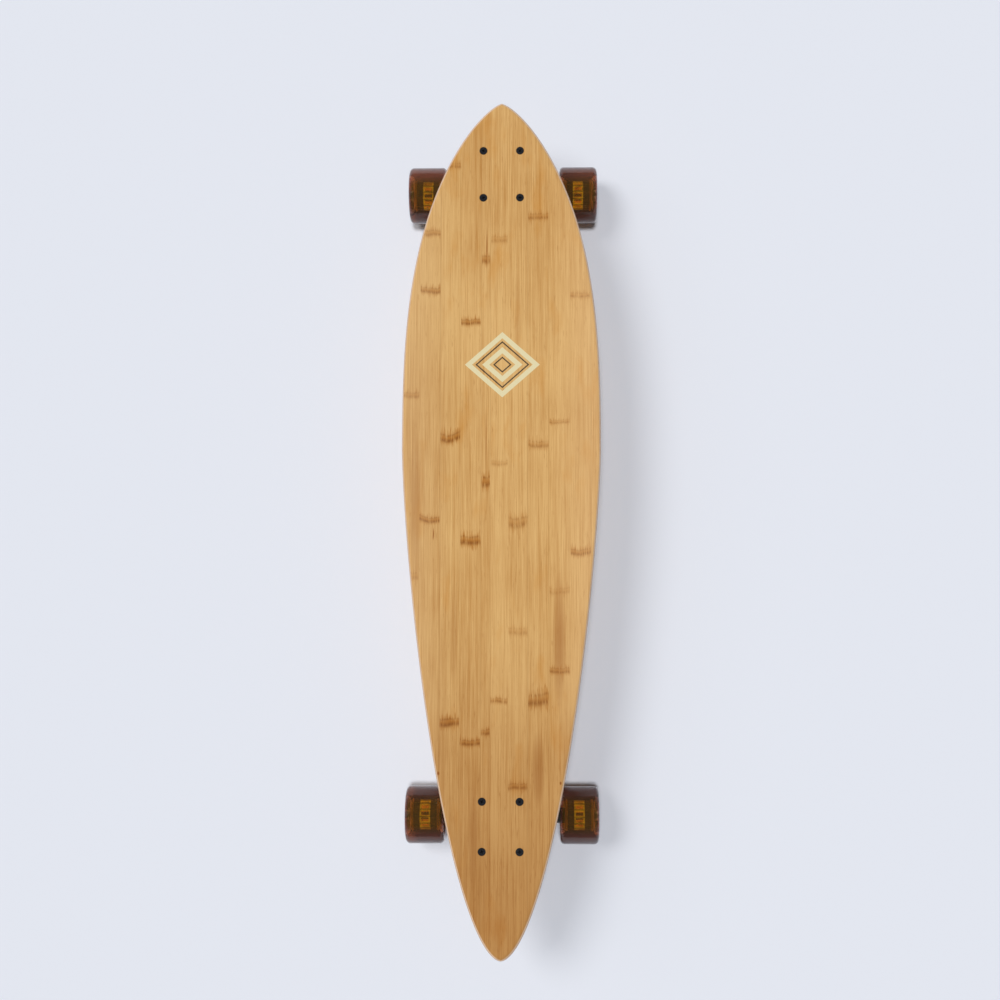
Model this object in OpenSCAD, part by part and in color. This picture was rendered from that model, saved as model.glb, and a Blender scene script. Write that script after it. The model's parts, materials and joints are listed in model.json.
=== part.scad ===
// Pintail longboard with reverse-kingpin trucks.
// Millimetres. +Z is up, +Y points to the nose, the wheels stand on Z = 0.

/* [Deck] */
// Length of the deck from tail to nose
deck_length = 953; // [850:1:1100]
// Width of the deck at its widest point
deck_width = 221; // [205:1:240]
// How far the widest point lies ahead of the middle of the length
wide_point = 81; // [40:1:110]
// Fullness of the outline between the widest point and the nose
nose_fullness = 2.82; // [2:0.01:3.5]
// Roundness of the nose, where a smaller number is blunter
nose_point = 0.73; // [0.5:0.01:0.9]
// Fullness of the outline between the widest point and the tail
tail_fullness = 1.376; // [1.3:0.001:2]
// Roundness of the tail, where a smaller number is blunter
tail_point = 0.558; // [0.45:0.001:0.8]
// Width of the flat strip along the middle of the deck
flat_width = 72; // [60:1:100]
// How far the deck's edges rise above the flat strip at the widest point
concave_rise = 6; // [2:0.5:10]
// Thickness of the bamboo veneer on top and underneath
veneer_t = 0.8; // [0.6:0.1:2.5]
// Thickness of the maple core between the veneers
core_t = 10; // [7:0.1:12]

/* [Trucks] */
// Place of the front truck's bolt pattern along the deck
front_truck_y = 394; // [340:1:400]
// Place of the rear truck's bolt pattern along the deck
rear_truck_y = -332; // [-380:1:-300]
// Distance between the bolt holes across the deck
bolt_spacing_x = 41.28; // [41:0.01:42]
// Distance between the bolt holes along the deck
bolt_spacing_y = 53.98; // [53.5:0.01:54.5]
// Angle of the steering axis above the deck's plane
steer_angle = 50; // [46:1:50]
// Length of the hanger between its two wheel shoulders
hanger_w = 150; // [146:1:180]
// Thickness of the riser pad
riser_t = 3.2; // [1.5:0.1:7]
// Thickness of the baseplate's bolted plate
plate_t = 7; // [6:0.5:8]

/* [Wheels] */
// Diameter of the wheels
wheel_d = 65; // [60:1:68]
// Width of the wheels
wheel_w = 44; // [40:1:50]
// Radius of the wheel's rounded lip
lip_r = 5; // [3:0.5:6]
// Number of ribs that key the core into the urethane
core_ribs = 12; // [8:1:16]

/* [Hidden] */
$fn = 96;

// Outline of the deck
outline_steps = 30;
outline_min = 0.4;          // half-width at which a tip of the outline closes
nose_y = deck_length / 2;
front_len = nose_y - wide_point;
rear_len = nose_y + wide_point;
half_w = deck_width / 2;
concave_r = (pow(half_w - flat_width / 2, 2) + pow(concave_rise, 2)) / (2 * concave_rise);
deck_t = core_t + 2 * veneer_t;

// Ring centre of the hanger, in the truck's own frame: Y outboard, Z up, 0 on the face that meets the riser
ring_y = 0;
ring_z = -30;
// In the kingpin's frame Y runs to the pivot, Z runs to the nut, and 0 is the ring's centre
axle_ky = 28;
axle_kz = 22;

// Heights above the ground
axle_z = wheel_d / 2;
axle_drop = -ring_z + axle_ky * sin(steer_angle) + axle_kz * cos(steer_angle);
axle_y = ring_y - axle_ky * cos(steer_angle) + axle_kz * sin(steer_angle);
plate_z = axle_z + axle_drop;
deck_z = plate_z + riser_t;

// Fasteners
bolt_r = 2.4;
bolt_head_r = 4.6;
bolt_head_h = 2.6;
bolt_hole_r = 2.6;
bolt_len = 31.7;
nut_h = 5.6;
nut_flat = 9.5;
old_row_y = -36.5;          // extra pair of holes for the longer bolt pattern
kingpin_r = 4.7;
kingpin_flat = 14.3;
axle_r = 3.97;
axle_len = 218.4;
axle_nut_flat = 12.7;

// Plate outline
plate_w = 56;
plate_out = 40;
plate_in = -46;
plate_corner = 9;

// Kingpin stack, as heights in the kingpin's frame
ring_half = 3.5;
ring_r = 16.5;
ring_hole_r = 6.8;
ring_lip = 1.6;
bushing_r = 12.7;
bushing_h = 14;
washer_t = 2;
seat_k = -(ring_half + bushing_h + washer_t);
nut_k = ring_half + bushing_h + washer_t;
kingpin_grip_k = -30;
kingpin_head_h = 5.5;
kingpin_end_k = 31;
kingpin_hole_r = kingpin_r + 0.1;
washer_pocket_r = 14.6;
nut_room_r = 14.4;
bushing_gap = 0.3;

// Pivot
pivot_r = 6.4;
pivot_tip_r = 4.2;
pivot_shoulder_k = 35;
pivot_tip_k = 39;
cup_r = 8.6;
cup_mouth_k = 29.5;
cup_end_k = 42;
boss_r = 10.6;
boss_end_k = 44.5;

// Bearing 8 x 22 x 7
bearing_w = 7;
bearing_out_r = 11;
bearing_in_r = 4;
ball_r = 1.984;
ball_count = 7;
ball_pitch_r = 7.5;
race_r = 2.05;
inner_land_r = 6.05;
outer_land_r = 9.15;
shield_seat = 0.62;
shield_t = 0.45;
spacer_len = 10;
speed_washer_t = 1;
speed_washer_r = 5.9;
spacer_r = 5.4;
wheel_x = hanger_w / 2 + speed_washer_t + bearing_w + spacer_len / 2;
bearing_x = (spacer_len + bearing_w) / 2;

// Wheel core
core_in_r = 9.4;
core_out_r = 13.6;
core_flange_r = 16.5;
core_half = 15.5;
core_flange_t = 2;
rib_t = 1.6;
window_half = 4.4;          // half of a window's width, along the axle
window_turn = 240 / core_ribs; // degrees that a window between two ribs spans
bearing_mouth = 1.6;        // how much wider the core's mouth opens than the bearing

// Length of what sits on each end of the axle between the shoulder and the nut
stack_len = 2 * speed_washer_t + 2 * bearing_w + spacer_len;

TRUCKS = ["front", "rear"];
SIDES = ["left", "right"];

// Deck

function nose_half(u) = half_w * pow(1 - pow(u, nose_fullness), nose_point);
function tail_half(u) = half_w * pow(1 - pow(u, tail_fullness), tail_point);

// Stations crowd towards the tips, where the outline turns fastest
function station(i) = sin(90 * i / outline_steps);
function right_side() = [
    for (i = [outline_steps - 1 : -1 : 1])
        [tail_half(station(i)), wide_point - rear_len * station(i)],
    for (i = [0 : outline_steps - 1])
        [nose_half(station(i)), wide_point + front_len * station(i)]
];

module deck_outline() {
    side = right_side();
    count = len(side);
    polygon(concat(
        [[outline_min, -nose_y]], side, [[outline_min, nose_y], [-outline_min, nose_y]],
        [for (i = [count - 1 : -1 : 0]) [-side[i][0], side[i][1]]],
        [[-outline_min, -nose_y]]
    ));
}

// Cross-section of one layer of the deck between two heights above the underside
module layer_section(low, high) {
    flat = flat_width / 2;
    reach = half_w + 2;
    translate([-flat, low]) square([2 * flat, high - low]);
    for (side = [-1, 1])
        intersection() {
            translate([side * flat, concave_r])
                difference() {
                    circle(concave_r - low, $fn = 720);
                    circle(concave_r - high, $fn = 720);
                }
            translate([side > 0 ? flat : -reach, -1]) square([reach - flat, 40]);
        }
}

module deck_holes() {
    for (y = [front_truck_y, rear_truck_y])
        for (sx = [-1, 1], sy = [-1, 1])
            translate([sx * bolt_spacing_x / 2, y + sy * bolt_spacing_y / 2, deck_z]) {
                translate([0, 0, -1]) cylinder(r = bolt_hole_r, h = deck_t + 10);
                translate([0, 0, deck_t - bolt_head_h])
                    cylinder(r1 = bolt_hole_r, r2 = bolt_head_r, h = bolt_head_h);
            }
}

module deck_layer(low, high) {
    difference() {
        intersection() {
            translate([0, nose_y + 5, deck_z])
                rotate([90, 0, 0])
                    linear_extrude(deck_length + 10) layer_section(low, high);
            translate([0, 0, deck_z - 5]) linear_extrude(60) deck_outline();
        }
        deck_holes();
    }
}

module deck_bottom_veneer() {
    color("burlywood") deck_layer(0, veneer_t);
}

module deck_core() {
    color("wheat") deck_layer(veneer_t, veneer_t + core_t);
}

module deck_top_veneer() {
    color("peru") deck_layer(veneer_t + core_t, deck_t);
}

// Frames that place the pieces

// The truck's own frame, with outboard along +Y
module in_truck(t) {
    translate([0, t == "front" ? front_truck_y : rear_truck_y, plate_z])
        rotate([0, 0, t == "front" ? 0 : 180])
            children();
}

// Y to the pivot and Z to the kingpin nut
module in_kingpin() {
    translate([0, ring_y, ring_z]) rotate([180 + steer_angle, 0, 0]) children();
}

// The axle's own frame inside the truck: X along the axle
module on_axle() {
    translate([0, axle_y, -axle_drop]) children();
}

module along_y() {
    rotate([-90, 0, 0]) children();
}

module along_x() {
    rotate([0, 90, 0]) children();
}

module at_bolts() {
    for (sx = [-1, 1], sy = [-1, 1])
        translate([sx * bolt_spacing_x / 2, sy * bolt_spacing_y / 2, 0]) children();
}

// Shared shapes

module rounded_plate(w, y0, y1, r, h) {
    linear_extrude(h) {
        translate([-w / 2 + r, y0]) square([w - 2 * r, y1 - y0]);
        translate([-w / 2, y0 + r]) square([w, y1 - y0 - 2 * r]);
        for (x = [-w / 2 + r, w / 2 - r], y = [y0 + r, y1 - r])
            translate([x, y]) circle(r);
    }
}

module hexagon(flat, h) {
    cylinder(d = flat / cos(30), h = h, $fn = 6);
}

// Locking nut: a chamfered foot, a hexagon and a round collar
module lock_nut(flat, h, bore_r) {
    foot_h = h * 0.2;
    hex_h = h * 0.5;
    difference() {
        union() {
            intersection() {
                hexagon(flat, foot_h);
                cylinder(r1 = flat * 0.53, r2 = flat * 0.62, h = foot_h);
            }
            translate([0, 0, foot_h - 0.01])
                intersection() {
                    hexagon(flat, hex_h);
                    cylinder(r = flat * 0.567, h = hex_h);
                }
            cylinder(r = flat * 0.44, h = h);
        }
        translate([0, 0, -1]) cylinder(r = bore_r, h = h + 2);
    }
}

module ring(out_r, in_r, h) {
    difference() {
        cylinder(r = out_r, h = h);
        translate([0, 0, -1]) cylinder(r = in_r, h = h + 2);
    }
}

// Truck

module plate_holes(depth) {
    at_bolts() translate([0, 0, -depth]) cylinder(r = bolt_hole_r, h = 2 * depth);
    for (sx = [-1, 1])
        translate([sx * bolt_spacing_x / 2, old_row_y, -depth])
            cylinder(r = bolt_hole_r, h = 2 * depth);
}

module riser_pad(t) {
    color("dimgray")
        in_truck(t)
            difference() {
                rounded_plate(plate_w, plate_in, plate_out, plate_corner, riser_t);
                plate_holes(riser_t + 1);
            }
}

// Side profile of the tower that carries the pivot, in the truck's frame
module tower_profile() {
    polygon([
        [-43, -2], [-36, -56], [-32, -60], [-27, -47], [-26, -31.5], [-12, -22], [0, -8], [4, -2]
    ]);
}

module baseplate(t) {
    tower_w = 20;
    neck_w = 25;
    pocket_depth = 3.5;
    rib_x = 9;
    rib_w = 3;
    color("#1c1c1e")
        in_truck(t)
            difference() {
                union() {
                    translate([0, 0, -plate_t])
                        rounded_plate(plate_w, plate_in, plate_out, plate_corner, plate_t);
                    rotate([90, 0, 90])
                        translate([0, 0, -tower_w / 2]) linear_extrude(tower_w) tower_profile();
                    // foot that spreads the tower into the plate
                    rotate([90, 0, 90])
                        translate([0, 0, -neck_w / 2])
                            linear_extrude(neck_w)
                                polygon([[-42, -3], [-40, -20], [-20, -24], [-8, -16], [4, -3]]);
                    in_kingpin() {
                        translate([0, 0, seat_k - 5]) cylinder(r = ring_r + 0.5, h = 6.5);
                        along_y()
                            translate([0, 0, cup_mouth_k])
                                cylinder(r = boss_r, h = boss_end_k - cup_mouth_k);
                    }
                    // stiffening ribs on the outboard half of the plate
                    for (sx = [-1, 1])
                        translate([sx * rib_x - rib_w / 2, 0, -plate_t - 3]) cube([rib_w, 34, 4]);
                }
                plate_holes(plate_t + 20);
                in_kingpin() {
                    translate([0, 0, -60]) cylinder(r = kingpin_hole_r, h = 60);
                    translate([0, 0, kingpin_grip_k - 30])
                        cylinder(r = kingpin_flat / 2 / cos(30) + 0.3, h = 30);
                    translate([0, 0, seat_k]) cylinder(r = washer_pocket_r, h = 40);
                    along_y() translate([0, 0, 20]) cylinder(r = cup_r, h = cup_end_k - 20);
                }
                // lightening pockets in the sides of the tower
                for (sx = [-1, 1])
                    rotate([90, 0, 90])
                        translate([0, 0, sx > 0 ? tower_w / 2 - pocket_depth : -tower_w / 2 - 1])
                            linear_extrude(pocket_depth + 1)
                                polygon([[-38, -26], [-35, -49], [-30.5, -45], [-29.5, -30]]);
            }
}

module pivot_cup(t) {
    gap = 0.06;
    color("gainsboro")
        in_truck(t) in_kingpin() along_y()
            rotate_extrude()
                polygon([
                    [pivot_r + gap, cup_mouth_k], [cup_r, cup_mouth_k], [cup_r, cup_end_k],
                    [0, cup_end_k], [0, pivot_tip_k + gap], [pivot_tip_r + gap, pivot_tip_k + gap],
                    [pivot_r + gap, pivot_shoulder_k + gap]
                ]);
}

module kingpin(t) {
    tip = 0.8;
    color("silver")
        in_truck(t) in_kingpin() {
            translate([0, 0, kingpin_grip_k - kingpin_head_h]) hexagon(kingpin_flat, kingpin_head_h);
            translate([0, 0, kingpin_grip_k - 0.5])
                cylinder(r = kingpin_r, h = kingpin_end_k - kingpin_grip_k - tip + 0.5);
            translate([0, 0, kingpin_end_k - tip]) cylinder(r1 = kingpin_r, r2 = kingpin_r - tip, h = tip);
        }
}

module kingpin_nut(t) {
    color("silver")
        in_truck(t) in_kingpin()
            translate([0, 0, nut_k]) lock_nut(kingpin_flat, 9.5, kingpin_r);
}

module boardside_bushing(t) {
    low = seat_k + washer_t;
    color("#c9a46a")
        in_truck(t) in_kingpin()
            rotate_extrude()
                polygon([
                    [kingpin_hole_r, low], [bushing_r - 1, low], [bushing_r, low + 1],
                    [bushing_r, -ring_half - 1], [bushing_r - 1, -ring_half], [kingpin_hole_r, -ring_half]
                ]);
}

module roadside_bushing(t) {
    high = nut_k - washer_t;
    color("#c9a46a")
        in_truck(t) in_kingpin()
            rotate_extrude()
                polygon([
                    [kingpin_hole_r, ring_half], [bushing_r - 1, ring_half], [bushing_r, ring_half + 1],
                    [bushing_r, ring_half + 3], [10.4, high - 1], [9.6, high], [kingpin_hole_r, high]
                ]);
}

module boardside_washer(t) {
    color("silver")
        in_truck(t) in_kingpin()
            rotate_extrude()
                polygon([
                    [kingpin_hole_r, seat_k], [14.2, seat_k], [14.2, seat_k + 3.2],
                    [13.3, seat_k + 3.2], [13.1, seat_k + washer_t], [kingpin_hole_r, seat_k + washer_t]
                ]);
}

module roadside_washer(t) {
    color("silver")
        in_truck(t) in_kingpin()
            rotate_extrude()
                polygon([
                    [kingpin_hole_r, nut_k], [12.2, nut_k], [12.2, nut_k - 3],
                    [11.4, nut_k - 3], [11, nut_k - washer_t], [kingpin_hole_r, nut_k - washer_t]
                ]);
}

// Half of the hanger's beam as a profile along the axle
function beam_profile() = [
    [0, 0], [11, 0], [11, 13], [9.4, 34], [8.7, 56], [9, 66],
    [9, hanger_w / 2 - 2.2], [7.4, hanger_w / 2 - 0.6], [6.4, hanger_w / 2 - 0.6],
    [6.4, hanger_w / 2], [0, hanger_w / 2]
];

module hanger(t) {
    neck_w = 22;
    color("#1c1c1e")
        in_truck(t)
            difference() {
                in_kingpin() {
                    translate([0, 0, -ring_half - ring_lip])
                        cylinder(r = ring_r, h = 2 * (ring_half + ring_lip));
                    // neck from the ring to the beam and the pivot
                    rotate([90, 0, 90])
                        translate([0, 0, -neck_w / 2])
                            linear_extrude(neck_w)
                                polygon([
                                    [8, -4.5], [24, -6.5], [28, -6.5], [28, 9.5], [30, 14],
                                    [33, 24], [24, 28], [19, 18], [15.5, 9], [8, 4.5]
                                ]);
                    // pivot nose
                    along_y()
                        rotate_extrude()
                            polygon([
                                [0, 20], [9, 20], [8.6, 28.5], [pivot_r, 28.9], [pivot_r, pivot_shoulder_k],
                                [pivot_tip_r, pivot_tip_k], [0, pivot_tip_k]
                            ]);
                    // wings that brace the beam
                    translate([0, 0, 12])
                        linear_extrude(11)
                            polygon([[-60, 27], [-15, 17.5], [15, 17.5], [60, 27], [60, 29], [-60, 29]]);
                    translate([0, axle_ky, axle_kz])
                        for (side = [-1, 1])
                            rotate([0, side * 90, 0]) rotate_extrude() polygon(beam_profile());
                }
                in_kingpin() {
                    translate([0, 0, -10]) cylinder(r = ring_hole_r, h = 20);
                    for (side = [-1, 1])
                        translate([0, 0, side > 0 ? ring_half : -ring_half - 6])
                            cylinder(r = bushing_r + bushing_gap, h = 6);
                    // room for the roadside bushing, its washer and the nut
                    translate([0, 0, ring_half]) cylinder(r = nut_room_r, h = 40);
                }
                on_axle() along_x() translate([0, 0, -100]) cylinder(r = axle_r, h = 200);
            }
}

module axle(t) {
    tip = 0.8;
    color("silver")
        in_truck(t) on_axle() along_x() {
            translate([0, 0, -axle_len / 2 + tip]) cylinder(r = axle_r, h = axle_len - 2 * tip);
            for (side = [-1, 1])
                rotate([side > 0 ? 0 : 180, 0, 0])
                    translate([0, 0, axle_len / 2 - tip]) cylinder(r1 = axle_r, r2 = axle_r - tip, h = tip);
        }
}

// Places its children on both ends of the axle, with Z outwards and 0 on the hanger's shoulder
module at_axle_ends(t) {
    in_truck(t) on_axle()
        for (side = [-1, 1])
            rotate([0, side * 90, 0]) translate([0, 0, hanger_w / 2]) children();
}

module axle_nuts(t) {
    color("silver")
        at_axle_ends(t) translate([0, 0, stack_len]) lock_nut(axle_nut_flat, 7.4, axle_r);
}

module speed_washers(t) {
    color("silver")
        at_axle_ends(t)
            for (z = [0, stack_len - speed_washer_t])
                translate([0, 0, z]) ring(speed_washer_r, bearing_in_r, speed_washer_t);
}

module bearing_spacers(t) {
    color("silver")
        at_axle_ends(t)
            translate([0, 0, speed_washer_t + bearing_w]) ring(spacer_r, bearing_in_r, spacer_len);
}

module bearing_inner_rings(t) {
    color("silver")
        at_axle_ends(t)
            for (z = [0, bearing_w + spacer_len])
                translate([0, 0, speed_washer_t + z + bearing_w / 2])
                    rotate_extrude()
                        difference() {
                            translate([bearing_in_r, -bearing_w / 2])
                                square([inner_land_r - bearing_in_r, bearing_w]);
                            translate([ball_pitch_r, 0]) circle(race_r);
                        }
}

module mounting_bolts(t) {
    top = riser_t + deck_t;
    recess_w = 1.1;
    recess_l = 4.6;
    recess_h = 1.9;
    color("#151515")
        in_truck(t) at_bolts()
            difference() {
                union() {
                    translate([0, 0, top - bolt_len]) cylinder(r = bolt_r, h = bolt_len - 1);
                    translate([0, 0, top - bolt_head_h])
                        cylinder(r1 = bolt_r, r2 = bolt_head_r - 0.2, h = bolt_head_h - 0.1);
                }
                for (turn = [0, 90])
                    rotate([0, 0, turn])
                        translate([-recess_l / 2, -recess_w / 2, top - recess_h])
                            cube([recess_l, recess_w, 3]);
            }
}

module mounting_nuts(t) {
    color("#151515")
        in_truck(t) at_bolts()
            translate([0, 0, -plate_t]) rotate([180, 0, 0]) lock_nut(nut_flat, nut_h, bolt_r);
}

// Wheels

// The wheel's own frame: X along the axle and outwards, 0 at the middle of the wheel
module in_wheel(t, s) {
    along = t == "front" ? front_truck_y + axle_y : rear_truck_y - axle_y;
    side = s == "left" ? -1 : 1;
    translate([side * wheel_x, along, axle_z]) rotate([0, side * 90, 0]) children();
}

module core_shape() {
    rib_half = core_half - core_flange_t;
    difference() {
        union() {
            translate([0, 0, -core_half]) cylinder(r = core_out_r, h = 2 * core_half);
            for (end = [-core_half, core_half - core_flange_t])
                translate([0, 0, end]) cylinder(r = core_flange_r, h = core_flange_t);
            for (i = [0 : core_ribs - 1])
                rotate([0, 0, 360 * i / core_ribs])
                    translate([core_out_r - 1, -rib_t / 2, -rib_half - 0.5])
                        cube([core_flange_r - core_out_r, rib_t, 2 * rib_half + 1]);
        }
        children();
    }
}

// Opens the core's wall between two ribs
module core_window() {
    low = core_in_r - 1;
    high = core_out_r + 0.5;
    across = sin(window_turn / 2);
    along = cos(window_turn / 2);
    translate([0, 0, -window_half])
        linear_extrude(2 * window_half)
            polygon([
                [low * along, -low * across], [high * along, -high * across],
                [high * along, high * across], [low * along, low * across]
            ]);
}

module core(t, s) {
    mouth = core_half - bearing_x - bearing_w / 2;
    color("goldenrod")
        in_wheel(t, s)
            core_shape() {
                translate([0, 0, -core_half - 1]) cylinder(r = core_in_r, h = 2 * core_half + 2);
                for (i = [0 : core_ribs - 1])
                    rotate([0, 0, 360 * (i + 0.5) / core_ribs]) core_window();
                for (end = [-1, 1])
                    rotate([end > 0 ? 0 : 180, 0, 0]) {
                        translate([0, 0, spacer_len / 2]) cylinder(r = bearing_out_r, h = core_half);
                        translate([0, 0, core_half - mouth])
                            cylinder(r1 = bearing_out_r, r2 = bearing_out_r + bearing_mouth,
                                     h = mouth + 0.01);
                    }
            }
}

module tyre(t, s) {
    rim_r = wheel_d / 2;
    half = wheel_w / 2;
    color("saddlebrown")
        in_wheel(t, s)
            difference() {
                rotate_extrude() {
                    polygon([
                        [core_out_r - 1, -core_half], [core_flange_r, -core_half],
                        [22.5, -half + 1.6], [25, -half], [rim_r - lip_r, -half],
                        [rim_r, -half + lip_r], [rim_r, half - lip_r], [rim_r - lip_r, half],
                        [25, half], [22.5, half - 1.6], [core_flange_r, core_half],
                        [core_out_r - 1, core_half]
                    ]);
                    for (end = [-1, 1]) translate([rim_r - lip_r, end * (half - lip_r)]) circle(lip_r);
                }
                core_shape() {}
            }
}

module in_bearings() {
    for (end = [-1, 1]) translate([0, 0, end * bearing_x]) children();
}

module bearing_outer_rings(t, s) {
    color("silver")
        in_wheel(t, s) in_bearings()
            rotate_extrude()
                difference() {
                    translate([outer_land_r, -bearing_w / 2])
                        square([bearing_out_r - outer_land_r, bearing_w]);
                    translate([ball_pitch_r, 0]) circle(race_r);
                    for (end = [-bearing_w / 2 - 0.1, bearing_w / 2 - shield_seat])
                        translate([outer_land_r - 1, end]) square([1.6, shield_seat + 0.1]);
                }
}

module bearing_shields(t, s) {
    color("#1b1b1b")
        in_wheel(t, s) in_bearings()
            for (end = [-bearing_w / 2 + shield_seat - shield_t, bearing_w / 2 - shield_seat])
                translate([0, 0, end]) ring(outer_land_r + 0.6, inner_land_r + 0.25, shield_t);
}

module bearing_balls(t, s) {
    cage_half = 2.55;
    pocket_r = ball_r + 0.12;
    color("gainsboro")
        in_wheel(t, s) in_bearings() {
            for (i = [0 : ball_count - 1])
                rotate([0, 0, 360 * i / ball_count]) translate([ball_pitch_r, 0, 0]) sphere(ball_r);
            difference() {
                translate([0, 0, -cage_half]) ring(ball_pitch_r + 0.9, ball_pitch_r - 0.9, 2 * cage_half);
                for (i = [0 : ball_count - 1])
                    rotate([0, 0, 360 * i / ball_count])
                        along_x() cylinder(r = pocket_r, h = 2 * ball_pitch_r);
            }
        }
}

// Assembly

deck_top_veneer();
deck_core();
deck_bottom_veneer();
for (t = TRUCKS) {
    riser_pad(t);
    baseplate(t);
    pivot_cup(t);
    kingpin(t);
    kingpin_nut(t);
    boardside_bushing(t);
    boardside_washer(t);
    roadside_bushing(t);
    roadside_washer(t);
    hanger(t);
    axle(t);
    axle_nuts(t);
    speed_washers(t);
    bearing_inner_rings(t);
    bearing_spacers(t);
    mounting_bolts(t);
    mounting_nuts(t);
    for (s = SIDES) {
        tyre(t, s);
        core(t, s);
        bearing_outer_rings(t, s);
        bearing_shields(t, s);
        bearing_balls(t, s);
    }
}
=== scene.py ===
import json
import math

import bpy
from mathutils import Matrix, Vector


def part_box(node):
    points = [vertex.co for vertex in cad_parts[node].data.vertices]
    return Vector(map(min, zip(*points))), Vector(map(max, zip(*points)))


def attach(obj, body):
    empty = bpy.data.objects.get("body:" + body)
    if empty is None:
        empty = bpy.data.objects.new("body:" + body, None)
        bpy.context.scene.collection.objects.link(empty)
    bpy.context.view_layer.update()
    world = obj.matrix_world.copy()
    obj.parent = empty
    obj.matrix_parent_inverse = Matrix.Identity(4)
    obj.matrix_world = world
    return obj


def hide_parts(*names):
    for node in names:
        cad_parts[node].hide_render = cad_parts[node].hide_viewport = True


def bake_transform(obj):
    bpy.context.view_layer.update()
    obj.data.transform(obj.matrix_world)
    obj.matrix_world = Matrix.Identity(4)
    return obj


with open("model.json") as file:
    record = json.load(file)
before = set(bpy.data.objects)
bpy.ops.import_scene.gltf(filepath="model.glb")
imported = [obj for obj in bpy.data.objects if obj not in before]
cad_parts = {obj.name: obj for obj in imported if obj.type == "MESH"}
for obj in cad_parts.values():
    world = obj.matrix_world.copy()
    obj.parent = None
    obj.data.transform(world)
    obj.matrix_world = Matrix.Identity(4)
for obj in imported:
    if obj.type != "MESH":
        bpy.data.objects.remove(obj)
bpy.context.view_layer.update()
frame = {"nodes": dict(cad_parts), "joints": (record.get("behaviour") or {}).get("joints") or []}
nodes = frame["nodes"]
truckNames = ("front", "rear")
sideNames = ("left", "right")
mm = 0.001


def clearSelection():
    if bpy.context.mode != "OBJECT":
        bpy.ops.object.mode_set(mode="OBJECT")
    bpy.ops.object.select_all(action="DESELECT")


def makeActive(piece):
    clearSelection()
    bpy.context.view_layer.objects.active = piece
    piece.select_set(True)


def nameNew(name):
    piece = bpy.context.view_layer.objects.active
    piece.name = name
    piece.data.name = name
    return piece


def applyPlace(piece):
    makeActive(piece)
    bpy.ops.object.transform_apply(location=True, rotation=True, scale=True)


def applyModifiers(piece):
    makeActive(piece)
    for modifier in list(piece.modifiers):
        bpy.ops.object.modifier_apply(modifier=modifier.name)


def addModifier(piece, kind, **settings):
    modifier = piece.modifiers.new(kind.title(), kind)
    for key, value in settings.items():
        setattr(modifier, key, value)
    return modifier


def mendNormals(piece):
    makeActive(piece)
    bpy.ops.object.mode_set(mode="EDIT")
    bpy.ops.mesh.select_all(action="SELECT")
    bpy.ops.mesh.remove_doubles(threshold=2e-6)
    bpy.ops.mesh.normals_make_consistent(inside=False)
    bpy.ops.object.mode_set(mode="OBJECT")


def smoothByAngle(piece, degrees=35):
    makeActive(piece)
    bpy.ops.object.shade_smooth_by_angle(angle=math.radians(degrees))


def selectFaces(piece, test):
    # leaves edit mode on, with only the faces that pass the test selected
    bpy.ops.object.mode_set(mode="EDIT")
    bpy.ops.mesh.select_mode(type="FACE")
    bpy.ops.mesh.select_all(action="DESELECT")
    bpy.ops.object.mode_set(mode="OBJECT")
    for face in piece.data.polygons:
        face.select = test(face)
    bpy.ops.object.mode_set(mode="EDIT")


def latheProfile(name, profile, steps=96):
    # a closed profile of (radius, along) in mm, spun round the X axis
    clearSelection()
    bpy.ops.mesh.primitive_plane_add(size=1, location=(0, 0, 0))
    piece = nameNew(name)
    bpy.ops.object.mode_set(mode="EDIT")
    bpy.ops.mesh.select_mode(type="VERT")
    bpy.ops.mesh.select_all(action="SELECT")
    bpy.ops.mesh.merge(type="CENTER")
    start = Vector((profile[0][1], 0, profile[0][0])) * mm
    bpy.ops.transform.translate(value=start)
    here = start
    for radius, along in profile[1:] + profile[:1]:
        there = Vector((along, 0, radius)) * mm
        bpy.ops.mesh.extrude_vertices_move(TRANSFORM_OT_translate={"value": there - here})
        here = there
    bpy.ops.mesh.select_all(action="SELECT")
    bpy.ops.mesh.remove_doubles(threshold=1e-7)
    bpy.ops.mesh.select_all(action="SELECT")
    bpy.ops.mesh.spin(steps=steps, angle=2 * math.pi, center=(0, 0, 0), axis=(1, 0, 0))
    bpy.ops.object.mode_set(mode="OBJECT")
    mendNormals(piece)
    return piece


def arcPoints(centreRadius, centreAlong, size, fromDegrees, toDegrees, count):
    # points of a round corner, from straight outwards (0) towards +along (90)
    found = []
    for i in range(count + 1):
        turn = math.radians(fromDegrees + (toDegrees - fromDegrees) * i / count)
        found.append((centreRadius + size * math.cos(turn), centreAlong + size * math.sin(turn)))
    return found


def copyOf(piece, name, matrix):
    made = piece.copy()
    made.data = piece.data.copy()
    made.name = name
    made.data.name = name
    bpy.context.scene.collection.objects.link(made)
    made.data.transform(matrix)
    return made


def removePiece(piece):
    clearSelection()
    bpy.data.objects.remove(piece)


def joinPieces(pieces, name):
    clearSelection()
    for piece in pieces:
        piece.select_set(True)
    bpy.context.view_layer.objects.active = pieces[0]
    if len(pieces) > 1:
        bpy.ops.object.join()
    return nameNew(name)


def ownMaterial(piece, material):
    piece.data.materials.clear()
    piece.data.materials.append(material)


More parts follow.
